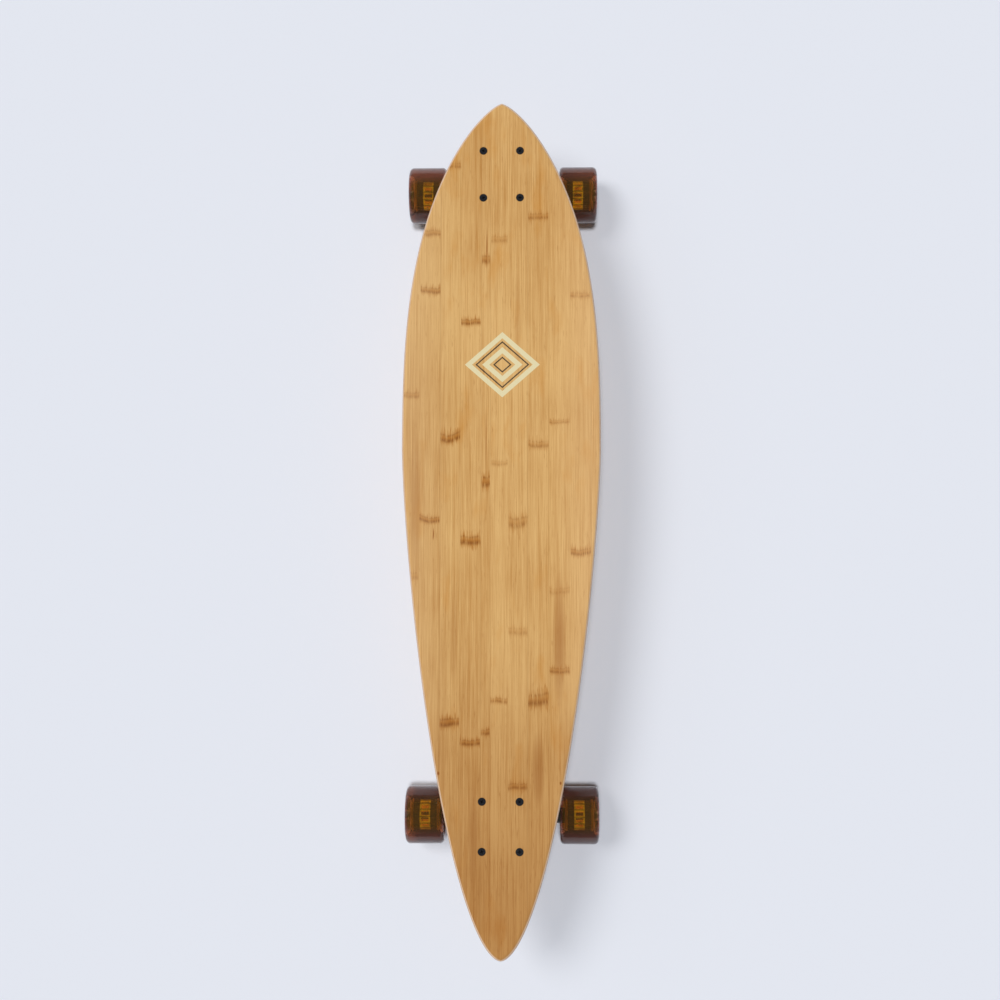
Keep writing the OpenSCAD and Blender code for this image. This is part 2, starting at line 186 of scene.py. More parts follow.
cameraSetup = {
    "location": (0.03654, -0.08722, 1.65795),   # m
    "turn": (4.171, 1.3985, 0.0922),    # degrees about X, Y and Z
    "lens": 50.31,                      # mm
    "farEnd": 20,                       # m, the furthest that the camera sees
}
lightSetup = {
    "skyColor": (0.88, 0.94, 1.0),
    "skyStrength": 0.10,
    "backdrop": 0.80,           # how bright the sky looks to the camera, which adds no light
    "lampReach": 1.5,           # m, from the board to each lamp
    # the way each lamp shines, how wide it looks in degrees, its strength, its colour, and whether it glints
    "lamps": (
        ("overhead", (0.01, 0.0, -1.0), 10, 1.84, (0.985, 0.992, 1.0), False),
        ("fromLeft", (0.58, -0.30, -1.0), 24, 1.12, (1.0, 0.985, 0.955), False),
        ("lowLeft", (1.0, -0.15, -0.75), 24, 0.14, (1.0, 0.98, 0.95), True),
    ),
    "floorColor": (0.778, 0.803, 0.876),
    "floorRoughness": 0.9,
    "floorShine": 0.1,
    "floorSize": 9.0,           # m
}


def addLamp(name, way, spread, strength, color, glints):
    lamp = bpy.data.lights.new(name, "SUN")
    lamp.angle = math.radians(spread)
    lamp.energy = strength
    lamp.color = color
    holder = bpy.data.objects.new(name, lamp)
    holder.location = -lightSetup["lampReach"] * Vector(way)
    holder.visible_glossy = holder.visible_transmission = glints
    holder.rotation_euler = Vector(way).to_track_quat("-Z", "Y").to_euler()
    bpy.context.scene.collection.objects.link(holder)


def makeStage():
    scene = bpy.context.scene
    camera = bpy.data.objects.new("camera", bpy.data.cameras.new("camera"))
    camera.data.lens = cameraSetup["lens"]
    camera.data.clip_end = cameraSetup["farEnd"]
    camera.location = cameraSetup["location"]
    camera.rotation_euler = [math.radians(turn) for turn in cameraSetup["turn"]]
    scene.collection.objects.link(camera)
    scene.camera = camera
    scene.view_settings.view_transform = "Standard"

    for lamp in lightSetup["lamps"]:
        addLamp(*lamp)
    world = bpy.data.worlds.new("studio")
    world.use_nodes = True
    sky = world.node_tree.nodes["Background"]
    sky.inputs["Color"].default_value = (*lightSetup["skyColor"], 1)
    path = world.node_tree.nodes.new("ShaderNodeLightPath")
    seen = world.node_tree.nodes.new("ShaderNodeMapRange")
    seen.inputs["To Min"].default_value = lightSetup["skyStrength"]
    seen.inputs["To Max"].default_value = lightSetup["backdrop"]
    world.node_tree.links.new(path.outputs["Is Camera Ray"], seen.inputs["Value"])
    world.node_tree.links.new(seen.outputs[0], sky.inputs["Strength"])
    scene.world = world

    clearSelection()
    bpy.ops.mesh.primitive_plane_add(size=lightSetup["floorSize"], location=(0, 0, 0))
    floor = nameNew("floor")
    paint = bpy.data.materials.new("floorPaint")
    paint.use_nodes = True
    shader = paint.node_tree.nodes["Principled BSDF"]
    shader.inputs["Base Color"].default_value = (*lightSetup["floorColor"], 1)
    shader.inputs["Roughness"].default_value = lightSetup["floorRoughness"]
    shader.inputs["Specular IOR Level"].default_value = lightSetup["floorShine"]
    ownMaterial(floor, paint)
    print("stage: camera, three lamps, a soft sky and a floor")


makeStage()


def addNode(tree, kind, inputs=None, **settings):
    made = tree.nodes.new(kind)
    for key, value in settings.items():
        setattr(made, key, value)
    for key, value in (inputs or {}).items():
        if isinstance(value, bpy.types.NodeSocket):
            tree.links.new(value, made.inputs[key])
        else:
            made.inputs[key].default_value = value
    return made


def calc(tree, operation, first, second=0.0, third=0.0, clamp=False):
    made = addNode(tree, "ShaderNodeMath", {0: first, 1: second, 2: third}, operation=operation)
    made.use_clamp = clamp
    return made.outputs[0]


def blendColors(tree, amount, first, second, mode="MIX"):
    made = addNode(tree, "ShaderNodeMix", data_type="RGBA", blend_type=mode)
    for key, value in ((0, amount), (6, first), (7, second)):
        if isinstance(value, bpy.types.NodeSocket):
            tree.links.new(value, made.inputs[key])
        elif key == 0:
            made.inputs[key].default_value = value
        else:
            made.inputs[key].default_value = (*value, 1)
    return made.outputs[2]


def rampOf(tree, source, stops, smooth="LINEAR"):
    made = addNode(tree, "ShaderNodeValToRGB", {0: source})
    made.color_ramp.interpolation = smooth
    while len(made.color_ramp.elements) < len(stops):
        made.color_ramp.elements.new(0.5)
    for element, (place, color) in zip(made.color_ramp.elements, stops):
        element.position = place
    for element, (place, color) in zip(made.color_ramp.elements, stops):
        element.color = (color, color, color, 1) if isinstance(color, (int, float)) else (*color, 1)
    return made.outputs[0]


def newGroup(name, inputs, outputs):
    group = bpy.data.node_groups.new(name, "ShaderNodeTree")
    for key, kind, value in inputs:
        socket = group.interface.new_socket(key, in_out="INPUT", socket_type="NodeSocket" + kind)
        if value is not None:
            socket.default_value = value
    for key, kind in outputs:
        group.interface.new_socket(key, in_out="OUTPUT", socket_type="NodeSocket" + kind)
    entry = group.nodes.new("NodeGroupInput")
    leave = group.nodes.new("NodeGroupOutput")
    return group, entry.outputs, leave.inputs


def socketName(key):
    # SlowScale means the socket Slow Scale
    return "".join(" " + c if c.isupper() else c for c in key).strip().title().replace("Ior", "IOR")


def useGroup(tree, group, **values):
    inputs = {socketName(key): value for key, value in values.items()}
    return addNode(tree, "ShaderNodeGroup", node_tree=group, inputs=inputs).outputs


def newMaterial(name, **uniform):
    material = bpy.data.materials.new(name)
    material.use_nodes = True
    tree = material.node_tree
    shader = tree.nodes["Principled BSDF"]
    for key, value in uniform.items():
        socket = shader.inputs[socketName(key)]
        socket.default_value = (*value, 1) if socket.type == "RGBA" else value
    coords = addNode(tree, "ShaderNodeTexCoord").outputs["Object"]
    return material, tree, shader, coords


def feed(tree, shader, color, roughness, height, strength, distance):
    tree.links.new(color, shader.inputs["Base Color"])
    tree.links.new(roughness, shader.inputs["Roughness"])
    bump = addNode(tree, "ShaderNodeBump", {"Height": height, "Strength": strength, "Distance": distance})
    tree.links.new(bump.outputs["Normal"], shader.inputs["Normal"])


def addNoise(tree, coords, scale, detail, **extra):
    inputs = {"Vector": coords, "Scale": scale, "Detail": detail, **extra}
    return addNode(tree, "ShaderNodeTexNoise", inputs).outputs[0]


def stretched(tree, coords, stretch):
    return addNode(tree, "ShaderNodeVectorMath", {0: coords, 1: stretch}, operation="MULTIPLY").outputs[0]


def makeEdgeWear():
    # bright where the surface turns sharply, broken up by noise
    group, entry, leave = newGroup(
        "edgeWear",
        [("Coords", "Vector", None), ("Radius", "Float", 0.0008), ("Breakup", "Float", 260.0)],
        [("Wear", "Float")])
    bevel = addNode(group, "ShaderNodeBevel", {"Radius": entry["Radius"]}, samples=4)
    normal = addNode(group, "ShaderNodeNewGeometry").outputs["Normal"]
    match = addNode(group, "ShaderNodeVectorMath", {0: bevel.outputs[0], 1: normal}, operation="DOT_PRODUCT")
    turnedAway = calc(group, "SUBTRACT", 1.0, match.outputs["Value"])
    noise = addNoise(group, entry["Coords"], entry["Breakup"], 3.0)
    patchy = calc(group, "MULTIPLY_ADD", noise, 2.4, -0.75, clamp=True)
    strong = calc(group, "MULTIPLY", turnedAway, 7.0, clamp=True)
    group.links.new(calc(group, "MULTIPLY", strong, patchy, clamp=True), leave["Wear"])
    return group


def makeMottle():
    # slow and fine variation for colour and roughness
    group, entry, leave = newGroup(
        "mottle",
        [("Coords", "Vector", None), ("Slow Scale", "Float", 25.0), ("Fine Scale", "Float", 900.0)],
        [("Slow", "Float"), ("Fine", "Float")])
    for key, scale, detail in (("Slow", "Slow Scale", 4.0), ("Fine", "Fine Scale", 2.0)):
        group.links.new(addNoise(group, entry["Coords"], entry[scale], detail), leave[key])
    return group


def makeDust():
    # a thin film that settles on faces that look up
    group, entry, leave = newGroup(
        "dust", [("Coords", "Vector", None), ("Amount", "Float", 0.2)], [("Dust", "Float")])
    normal = addNode(group, "ShaderNodeNewGeometry").outputs["Normal"]
    upward = addNode(group, "ShaderNodeSeparateXYZ", {0: normal}).outputs[2]
    patchy = calc(group, "MULTIPLY_ADD", addNoise(group, entry["Coords"], 70.0, 6.0), 2.0, -0.6, clamp=True)
    laid = calc(group, "MULTIPLY", calc(group, "MAXIMUM", upward, 0.15), patchy)
    group.links.new(calc(group, "MULTIPLY", laid, entry["Amount"], clamp=True), leave["Dust"])
    return group


def makeFibre():
    # long thin fibres that run along Y, shifted from strip to strip
    group, entry, leave = newGroup(
        "fibre",
        [("Coords", "Vector", None), ("Shift", "Float", 0.0)],
        [("Fine", "Float"), ("Broad", "Float"), ("Flecks", "Float")])
    sideShift = calc(group, "MULTIPLY", entry["Shift"], 3.0)
    shift = addNode(group, "ShaderNodeCombineXYZ", {1: sideShift, 2: entry["Shift"]})
    moved = addNode(group, "ShaderNodeVectorMath", {0: entry["Coords"], 1: shift.outputs[0]}, operation="ADD")
    for key, stretch, detail in (("Fine", (1700, 16, 200), 4.0), ("Broad", (260, 2.5, 40), 2.0),
                                 ("Flecks", (900, 75, 200), 1.0)):
        noise = addNoise(group, stretched(group, moved.outputs[0], stretch), 1.0, detail, Roughness=0.62)
        group.links.new(noise, leave[key])
    return group


knotShape = {
    "bow": 8.0,                 # how far the rings bend towards the strip's edges
    "wander": 0.010,            # m, how far a ring drifts across its strip
    "ragged": 0.0045,           # m, how far single fibres carry a ring
    "settle": 0.00725,          # m, brings the drifting ring back to its place
    # place, narrowness and strength of each ring, in half heights
    "rings": ((-0.30, 2.6, 1.0), (0.42, 3.2, 0.6)),
}


def makeKnot():
    # one node of a bamboo stalk: two ragged rings in a warm patch that combs out along the fibres
    group, entry, leave = newGroup(
        "knot",
        [("Across", "Float", 0.0), ("Along", "Float", 0.0), ("Place X", "Float", 0.0),
         ("Place Y", "Float", 0.0), ("Half Width", "Float", 0.011), ("Half Height", "Float", 0.006),
         ("Fibre", "Float", 0.5), ("Wander", "Float", 0.5)],
        [("Tint", "Float"), ("Rings", "Float")])
    spec = knotShape
    sideways = calc(group, "ABSOLUTE", calc(group, "SUBTRACT", entry["Across"], entry["Place X"]))
    spare = calc(group, "SUBTRACT", entry["Half Width"], sideways)
    inside = calc(group, "MULTIPLY", spare, 1200.0, clamp=True)
    bow = calc(group, "MULTIPLY", calc(group, "MULTIPLY", sideways, sideways), spec["bow"])
    ragged = calc(group, "MULTIPLY_ADD", entry["Fibre"], spec["ragged"], bow)
    wander = calc(group, "MULTIPLY_ADD", entry["Wander"], spec["wander"], ragged)
    endways = calc(group, "SUBTRACT", calc(group, "SUBTRACT", entry["Along"], entry["Place Y"]),
                   calc(group, "SUBTRACT", wander, spec["settle"]))
    share = calc(group, "DIVIDE", endways, entry["Half Height"])
    combed = calc(group, "SUBTRACT", calc(group, "MULTIPLY_ADD", entry["Fibre"], 2.4, -0.1),
                  calc(group, "ABSOLUTE", share), clamp=True)
    group.links.new(calc(group, "MULTIPLY", combed, inside), leave["Tint"])
    speckle = calc(group, "MULTIPLY_ADD", entry["Fibre"], 4.2, -1.3, clamp=True)
    rings = None
    for place, narrow, strong in spec["rings"]:
        away = calc(group, "ABSOLUTE", calc(group, "SUBTRACT", share, place))
        ring = calc(group, "SUBTRACT", strong, calc(group, "MULTIPLY", away, narrow), clamp=True)
        rings = ring if rings is None else calc(group, "MAXIMUM", rings, ring)
    group.links.new(calc(group, "MULTIPLY", calc(group, "MULTIPLY", rings, inside), speckle), leave["Rings"])
    return group


def makeStreak():
    # a soft lengthwise mark
    group, entry, leave = newGroup(
        "streak",
        [("Across", "Float", 0.0), ("Along", "Float", 0.0), ("Place X", "Float", 0.0),
         ("Place Y", "Float", 0.0), ("Half Width", "Float", 0.001), ("Half Length", "Float", 0.01)],
        [("Mask", "Float")])
    square = None
    for key, place, half in (("Across", "Place X", "Half Width"), ("Along", "Place Y", "Half Length")):
        share = calc(group, "DIVIDE", calc(group, "SUBTRACT", entry[key], entry[place]), entry[half])
        part = calc(group, "MULTIPLY", share, share)
        square = part if square is None else calc(group, "ADD", square, part)
    group.links.new(calc(group, "SUBTRACT", 1.0, square, clamp=True), leave["Mask"])
    return group


edgeWear = makeEdgeWear()
mottle = makeMottle()
dust = makeDust()
fibre = makeFibre()
knot = makeKnot()
streak = makeStreak()


deckSize = {
    "flatHalf": 36.0,           # mm, half of the flat strip
    "rise": 6.0,                # mm, at the widest point
    "widePoint": 81.0,          # mm ahead of the middle
    "noseShape": (2.82, 0.73),
    "tailShape": (1.376, 0.558),
    "roundOver": 4.2,           # mm, radius of the edge above and below
    "across": 28,               # faces across and along the deck
    "along": 152,
    "veneer": 0.8,
    "core": 10.0,
    "tipHalf": 0.4,             # mm, half width at which a tip closes
    "boltSpacing": (41.28, 53.98),
}
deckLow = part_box("deck_bottom_veneer")[0]
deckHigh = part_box("deck_top_veneer")[1]
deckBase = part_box("front_riser_pad")[1].z / mm      # mm, the underside's flat strip
deckThick = deckSize["core"] + 2 * deckSize["veneer"]
deckTop = deckBase + deckThick
deckHalf = (deckHigh.x - deckLow.x) / 2 / mm
noseReach = deckHigh.y / mm - deckSize["widePoint"]
tailReach = deckSize["widePoint"] - deckLow.y / mm
concaveRun = deckHalf - deckSize["flatHalf"]
concaveR = (concaveRun ** 2 + deckSize["rise"] ** 2) / (2 * deckSize["rise"])


def outlineHalf(share, ahead):
    if share >= 1:
        return deckSize["tipHalf"]
    full, tip = deckSize["noseShape"] if ahead else deckSize["tailShape"]
    return max(deckHalf * (1 - share ** full) ** tip, deckSize["tipHalf"])


def edgeInset(height):
    # how far the round-over draws the edge in at a height above the underside
    radius = deckSize["roundOver"]
    depth = max(radius - height, radius - (deckThick - height), 0.0)
    return radius - math.sqrt(max(radius ** 2 - depth ** 2, 0.0))


def deckPoint(across, along, height):
    # across and along from -1 to 1, height in mm above the underside
    inset = edgeInset(height)
    share = math.sin(math.radians(90 * abs(along)))     # crowds the rows towards both tips
    ahead = along > 0
    reach = (noseReach if ahead else tailReach) - inset
    x = across * max(outlineHalf(share, ahead) - inset, deckSize["tipHalf"] / 2)
    y = deckSize["widePoint"] + reach * share * (1 if ahead else -1)
    beyond = max(abs(x) - deckSize["flatHalf"], 0.0)
    rise = concaveR - math.sqrt((concaveR - height) ** 2 - beyond ** 2)
    return Vector((x, y, deckBase + rise)) * mm


def makeDeckLayer(name, heights):
    # a flat grid, extruded level by level, then drawn to the outline and the concave
    clearSelection()
    bpy.ops.mesh.primitive_grid_add(x_subdivisions=deckSize["across"], y_subdivisions=deckSize["along"],
                                    size=2, location=(0, 0, heights[0]))
    piece = nameNew(name)
    bpy.ops.object.mode_set(mode="EDIT")
    bpy.ops.mesh.select_all(action="SELECT")
    for low, high in zip(heights, heights[1:]):
        bpy.ops.mesh.extrude_region_move(TRANSFORM_OT_translate={"value": (0, 0, high - low)})
    bpy.ops.object.mode_set(mode="OBJECT")
    applyPlace(piece)
    for vertex in piece.data.vertices:
        vertex.co = deckPoint(*vertex.co)
    mendNormals(piece)
    return piece


def levels(low, high):
    # crowded near both faces of the deck, where the edge is round
    radius = deckSize["roundOver"]
    turns = [radius * (1 - math.cos(math.radians(turn))) for turn in (0, 15, 30, 45, 60, 75, 90)]
    marks = sorted(set(turns + [deckThick - mark for mark in turns]))
    return [low] + [mark for mark in marks if low + 0.05 < mark < high - 0.05] + [high]


holeSize = {
    # mm
    "radius": 2.7,
    "depth": 30,
    "middle": 12,               # below the riding face
    "sinkStart": 5.4,           # from the cutter's top down to the countersink
    "sinkDepth": 2.4,
    "sinkWiden": 1.76,
    "clearance": 3,
}


def makeHoleCutter(places):
    # stepped cutters: a straight shank and the countersink above it
    cutters = []
    for x, y in places:
        clearSelection()
        bpy.ops.mesh.primitive_cylinder_add(
            vertices=40, radius=holeSize["radius"] * mm, depth=holeSize["depth"] * mm,
            location=(x, y, (deckTop - holeSize["middle"]) * mm))
        piece = nameNew("cutter")
        selectFaces(piece, lambda face: face.normal.z > 0.9)
        bpy.ops.transform.translate(value=(0, 0, -holeSize["sinkStart"] * mm))
        bpy.ops.mesh.extrude_region_move(TRANSFORM_OT_translate={"value": (0, 0, holeSize["sinkDepth"] * mm)})
        bpy.ops.transform.resize(value=(holeSize["sinkWiden"], holeSize["sinkWiden"], 1))
        bpy.ops.mesh.extrude_region_move(TRANSFORM_OT_translate={"value": (0, 0, holeSize["clearance"] * mm)})
        bpy.ops.object.mode_set(mode="OBJECT")
        cutters.append(piece)
    cutter = joinPieces(cutters, "holeCutter")
    applyPlace(cutter)
    return cutter


def boltPlaces(truck):
    # the four bolts of one truck, from the centre of its mounting bolts
    low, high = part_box(truck + "_mounting_bolts")
    centre = (low + high) / 2
    wide, long = deckSize["boltSpacing"]
    return [(centre.x + right * wide / 2 * mm, centre.y + ahead * long / 2 * mm)
            for right in (-1, 1) for ahead in (-1, 1)]


bambooStrips = {
    # mm, the joints between the strips of the riding face, from left to right
    "joints": (-91, -68, -45.5, -22.5, -12, 7.5, 29.5, 53, 76.5, 99.5),
    # how light each strip is
    "tones": (0.50, 0.62, 0.66, 0.42, 0.46, 0.88, 0.72, 0.48, 0.54, 0.66, 0.52),
    # strip, place along the deck, half height, strength
    "knots": (
        (2, 402, 5, 0.55), (7, 344, 6, 0.6), (1, 326, 6, 0.6), (4, 296, 9, 0.7), (1, 261, 6, 0.75),
        (9, 255, 5, 0.5), (3, 225, 6, 0.8), (0, 143, 6, 0.6), (8, 113, 4, 0.45), (2, 95, 8, 1.0),
        (7, 89, 7, 0.55), (5, 66, 5, 0.35), (4, 46, 11, 0.9), (1, 3, 6, 0.9), (6, 1, 11, 0.55),
        (3, -20, 9, 1.0), (9, -32, 6, 0.8), (8, -162, 6, 0.6), (5, -196, 5, 0.6), (7, -195, 12, 0.7),
        (2, -220, 8, 0.9), (4, -230, 6, 0.7), (3, -242, 6, 0.8), (6, -290, 6, 0.6), (5, 318, 7, 0.35),
        (8, -75, 6, 0.3), (6, -120, 7, 0.35), (0, -60, 7, 0.5)),
    "light": (0.76, 0.47, 0.185),
    "dark": (0.48, 0.215, 0.050),
    "amber": (0.60, 0.255, 0.040),
    "fleckColor": (0.40, 0.16, 0.035),
    "fineContrast": 2.3,
    "broadContrast": 0.75,
    "toneContrast": 0.34,
    "level": 1.385,                         # taken off the summed contrasts, so the whole stays honey
    "knotColor": (0.46, 0.185, 0.035),
    "knotHeart": (0.24, 0.082, 0.016),
    # mm, place, half width, half length and strength of the darker streaks and pin marks
    "streaks": (
        (64, -130, 7.5, 80, 0.55), (41, -270, 8, 45, 0.4), (-16.5, 309, 1.3, 26, 0.75),
        (-17, 94, 0.8, 36, 0.6), (-75, -12.5, 0.9, 7.5, 1.0), (-68.4, -274.5, 1.5, 2.6, 1.3),
        (65.3, -284.5, 1.2, 2.2, 1.3), (-95, 20, 7, 90, 0.35), (-52, -120, 5, 60, 0.25),
        (18, 220, 4, 70, 0.22), (-30, -340, 6, 60, 0.3)),
    "streakColor": (0.33, 0.100, 0.010),
    "edgePale": (0.84, 0.55, 0.30),         # paler towards the rails
    "jointColor": (0.30, 0.13, 0.035),
    "tailShade": (0.69, 0.57, 0.47),        # the honey colour deepens towards the tail
}

ornamentBands = {
    # mm, the middle and the reach of the printed lozenges
    "middle": (1.0, 177.0),
    "reach": (42.0, 37.0),
    # inner and outer share of the reach, and whether the band is cream or dark
    "bands": ((0.80, 1.0, True), (0.66, 0.72, False), (0.34, 0.54, True), (0.19, 0.25, False)),
    "cream": (0.80, 0.72, 0.45),
    "dark": (0.035, 0.03, 0.025),
}


def makeLozenge():
    # a diamond band between two shares of its reach
    group, entry, leave = newGroup(
        "lozengeBand",
        [("Across", "Float", 0.0), ("Along", "Float", 0.0), ("Inner", "Float", 0.8), ("Outer", "Float", 1.0)],
        [("Mask", "Float")])
    spec = ornamentBands
    share = None
    for key, middle, reach in zip(("Across", "Along"), spec["middle"], spec["reach"]):
        away = calc(group, "ABSOLUTE", calc(group, "SUBTRACT", entry[key], middle * mm))
        part = calc(group, "DIVIDE", away, reach * mm)
        share = part if share is None else calc(group, "ADD", share, part)
    past = calc(group, "MULTIPLY", calc(group, "SUBTRACT", share, entry["Inner"]), 110.0, clamp=True)
    short = calc(group, "MULTIPLY", calc(group, "SUBTRACT", entry["Outer"], share), 110.0, clamp=True)
    group.links.new(calc(group, "MULTIPLY", past, short), leave["Mask"])
    return group


lozengeBand = makeLozenge()


def printOrnament(tree, color, across, along, grain):
    # ink under the varnish, a little thin where the grain is open
    spec = ornamentBands
    for inner, outer, cream in spec["bands"]:
        mask = useGroup(tree, lozengeBand, Across=across, Along=along, Inner=inner, Outer=outer)["Mask"]
        thin = calc(tree, "MULTIPLY", mask, calc(tree, "MULTIPLY_ADD", grain, -0.30, 1.08, clamp=True))
        color = blendColors(tree, thin, color, spec["cream"] if cream else spec["dark"])
    return color


def makeBamboo(name, knotShift, warmth, printed):
    # strips of pressed bamboo under varnish: tones, fibres, flecks, knots, streaks and joints
    spec = bambooStrips
    material, tree, shader, coords = newMaterial(name, specularIorLevel=0.4, coatWeight=0.2,
                                                 coatRoughness=0.3)
    split = addNode(tree, "ShaderNodeSeparateXYZ", {0: coords})
    across, along = split.outputs[0], split.outputs[1]
    wide = 260 * mm             # the ramps span this width
    place = calc(tree, "MULTIPLY_ADD", across, 1 / wide, 0.5)
    edges = (-deckHalf - 4, *spec["joints"], deckHalf + 4)
    toneStops = [(max(edge * mm / wide + 0.5, 0), tone) for edge, tone in zip(edges, spec["tones"])]
    tone = rampOf(tree, place, toneStops, "CONSTANT")
    jointStops = []
    for edge in spec["joints"]:
        middle = edge * mm / wide + 0.5
        jointStops += [(middle - 0.0014, 0.0), (middle, 1.0), (middle + 0.0014, 0.0)]
    joint = rampOf(tree, place, jointStops)

    fibres = useGroup(tree, fibre, Coords=coords, Shift=tone)
    drift = useGroup(tree, mottle, Coords=coords, SlowScale=7.0, FineScale=1600.0)
    patches = addNoise(tree, stretched(tree, coords, (48, 15, 40)), 1.0, 5.0)
    broad = calc(tree, "MULTIPLY", fibres["Broad"], spec["broadContrast"])
    lines = calc(tree, "MULTIPLY_ADD", fibres["Fine"], spec["fineContrast"], broad)
    levelled = calc(tree, "SUBTRACT", lines, spec["level"])
    lightness = calc(tree, "MULTIPLY_ADD", tone, spec["toneContrast"], levelled)
    slow = calc(tree, "MULTIPLY_ADD", drift["Slow"], 1.1, -0.22)
    lightness = calc(tree, "ADD", lightness, slow, clamp=True)
    color = blendColors(tree, lightness, spec["dark"], spec["light"])
    fleckMask = calc(tree, "MULTIPLY_ADD", fibres["Flecks"], 6.0, -3.75, clamp=True)
    color = blendColors(tree, calc(tree, "MULTIPLY", fleckMask, 0.4), color, spec["fleckColor"])
    amber = calc(tree, "MULTIPLY_ADD", patches, 5.0, -2.85, clamp=True)
    color = blendColors(tree, calc(tree, "MULTIPLY", amber, 0.5), color, spec["amber"])

    tint = rings = None
    for strip, y, halfHeight, strength in spec["knots"]:
        left, right = max(edges[strip], -deckHalf), min(edges[strip + 1], deckHalf)
        found = useGroup(tree, knot, Across=across, Along=along, PlaceX=(left + right) / 2 * mm,
                         PlaceY=(y + knotShift) * mm, HalfWidth=(right - left) / 2 * mm,
                         HalfHeight=halfHeight * mm, Fibre=fibres["Flecks"], Wander=patches)
        softly, sharply = (calc(tree, "MULTIPLY", found[key], strength) for key in ("Tint", "Rings"))
        tint = softly if tint is None else calc(tree, "MAXIMUM", tint, softly)
        rings = sharply if rings is None else calc(tree, "MAXIMUM", rings, sharply)
    for x, y, halfWidth, halfLength, strength in spec["streaks"]:
        mask = useGroup(tree, streak, Across=across, Along=along, PlaceX=x * mm, PlaceY=(y + knotShift) * mm,
                        HalfWidth=halfWidth * mm, HalfLength=halfLength * mm)["Mask"]
        broken = calc(tree, "MULTIPLY_ADD", fibres["Fine"], 1.2 * strength, 0.4 * strength)
        color = blendColors(tree, calc(tree, "MULTIPLY", mask, broken), color, spec["streakColor"])
    color = blendColors(tree, calc(tree, "MULTIPLY", tint, 1.05, clamp=True), color, spec["knotColor"])
    color = blendColors(tree, calc(tree, "MULTIPLY", rings, 0.85, clamp=True), color, spec["knotHeart"])
    color = blendColors(tree, calc(tree, "MULTIPLY", joint, 0.26), color, spec["jointColor"])
    edgeward = calc(tree, "MULTIPLY_ADD", calc(tree, "ABSOLUTE", across), 22.0, -1.2, clamp=True)
    color = blendColors(tree, calc(tree, "MULTIPLY", edgeward, 0.20), color, spec["edgePale"])
    tailward = calc(tree, "MULTIPLY_ADD", along, -3.0, -0.30, clamp=True)
    deeper = blendColors(tree, tailward, (1, 1, 1), spec["tailShade"])
    color = blendColors(tree, 1.0, color, deeper, "MULTIPLY")
    color = blendColors(tree, 1.0, color, warmth, "MULTIPLY")
    if printed:
        color = printOrnament(tree, color, across, along, fibres["Fine"])

    varnish = calc(tree, "MULTIPLY_ADD", drift["Slow"], 0.12, 0.28)
    rough = calc(tree, "MULTIPLY_ADD", fibres["Fine"], 0.16, varnish)
    height = calc(tree, "SUBTRACT", calc(tree, "MULTIPLY_ADD", drift["Fine"], 0.35, fibres["Fine"]),
                  calc(tree, "MULTIPLY", joint, 0.8))
    feed(tree, shader, color, rough, height, 0.28, 0.00012)
    return material


plyLook = {
    "tones": (0.75, 0.35, 0.8, 0.45, 0.85, 0.35, 0.8),      # how light each of the seven maple plies is
    "dark": (0.52, 0.30, 0.16),
    "light": (0.86, 0.64, 0.46),
    "glue": (0.20, 0.095, 0.04),
    "glueHalf": 0.010,                                      # share of the deck's thickness
}


def makePlyEdge():
    # the plies follow the concave, so they are counted from the height above the bent underside
    spec = plyLook
    material, tree, shader, coords = newMaterial("plyEdge", specularIorLevel=0.35)
    split = addNode(tree, "ShaderNodeSeparateXYZ", {0: coords})
    sideways = calc(tree, "ABSOLUTE", split.outputs[0])
    beyond = calc(tree, "MAXIMUM", calc(tree, "SUBTRACT", sideways, deckSize["flatHalf"] * mm), 0.0)
    rise = calc(tree, "DIVIDE", calc(tree, "MULTIPLY", beyond, beyond), 2 * (concaveR - deckThick / 2) * mm)
    height = calc(tree, "SUBTRACT", calc(tree, "SUBTRACT", split.outputs[2], deckBase * mm), rise)
    share = calc(tree, "DIVIDE", height, deckThick * mm)
    plyCount = len(spec["tones"])
    marks = [(deckSize["veneer"] + deckSize["core"] * i / plyCount) / deckThick for i in range(plyCount + 1)]
    plies = rampOf(tree, share, [(0.0, 0.6)] + list(zip(marks, spec["tones"])), "CONSTANT")
    glue = []
    for place in marks:
        glue += [(place - spec["glueHalf"], 0.0), (place, 1.0), (place + spec["glueHalf"], 0.0)]
    glueLine = rampOf(tree, share, glue)
    grain = addNoise(tree, stretched(tree, coords, (240, 240, 2600)), 1.0, 4.0)
    drift = useGroup(tree, mottle, Coords=coords, SlowScale=30.0, FineScale=1400.0)
    lightness = calc(tree, "MULTIPLY_ADD", grain, 0.6, calc(tree, "MULTIPLY", plies, 0.6))
    slow = calc(tree, "MULTIPLY_ADD", drift["Slow"], 0.4, -0.35)
    lightness = calc(tree, "ADD", lightness, slow, clamp=True)
    color = blendColors(tree, lightness, spec["dark"], spec["light"])
    color = blendColors(tree, calc(tree, "MULTIPLY", glueLine, 0.5), color, spec["glue"])
    feed(tree, shader, color, calc(tree, "MULTIPLY_ADD", grain, 0.2, 0.38),
         calc(tree, "SUBTRACT", grain, glueLine), 0.25, 0.00012)
    return material


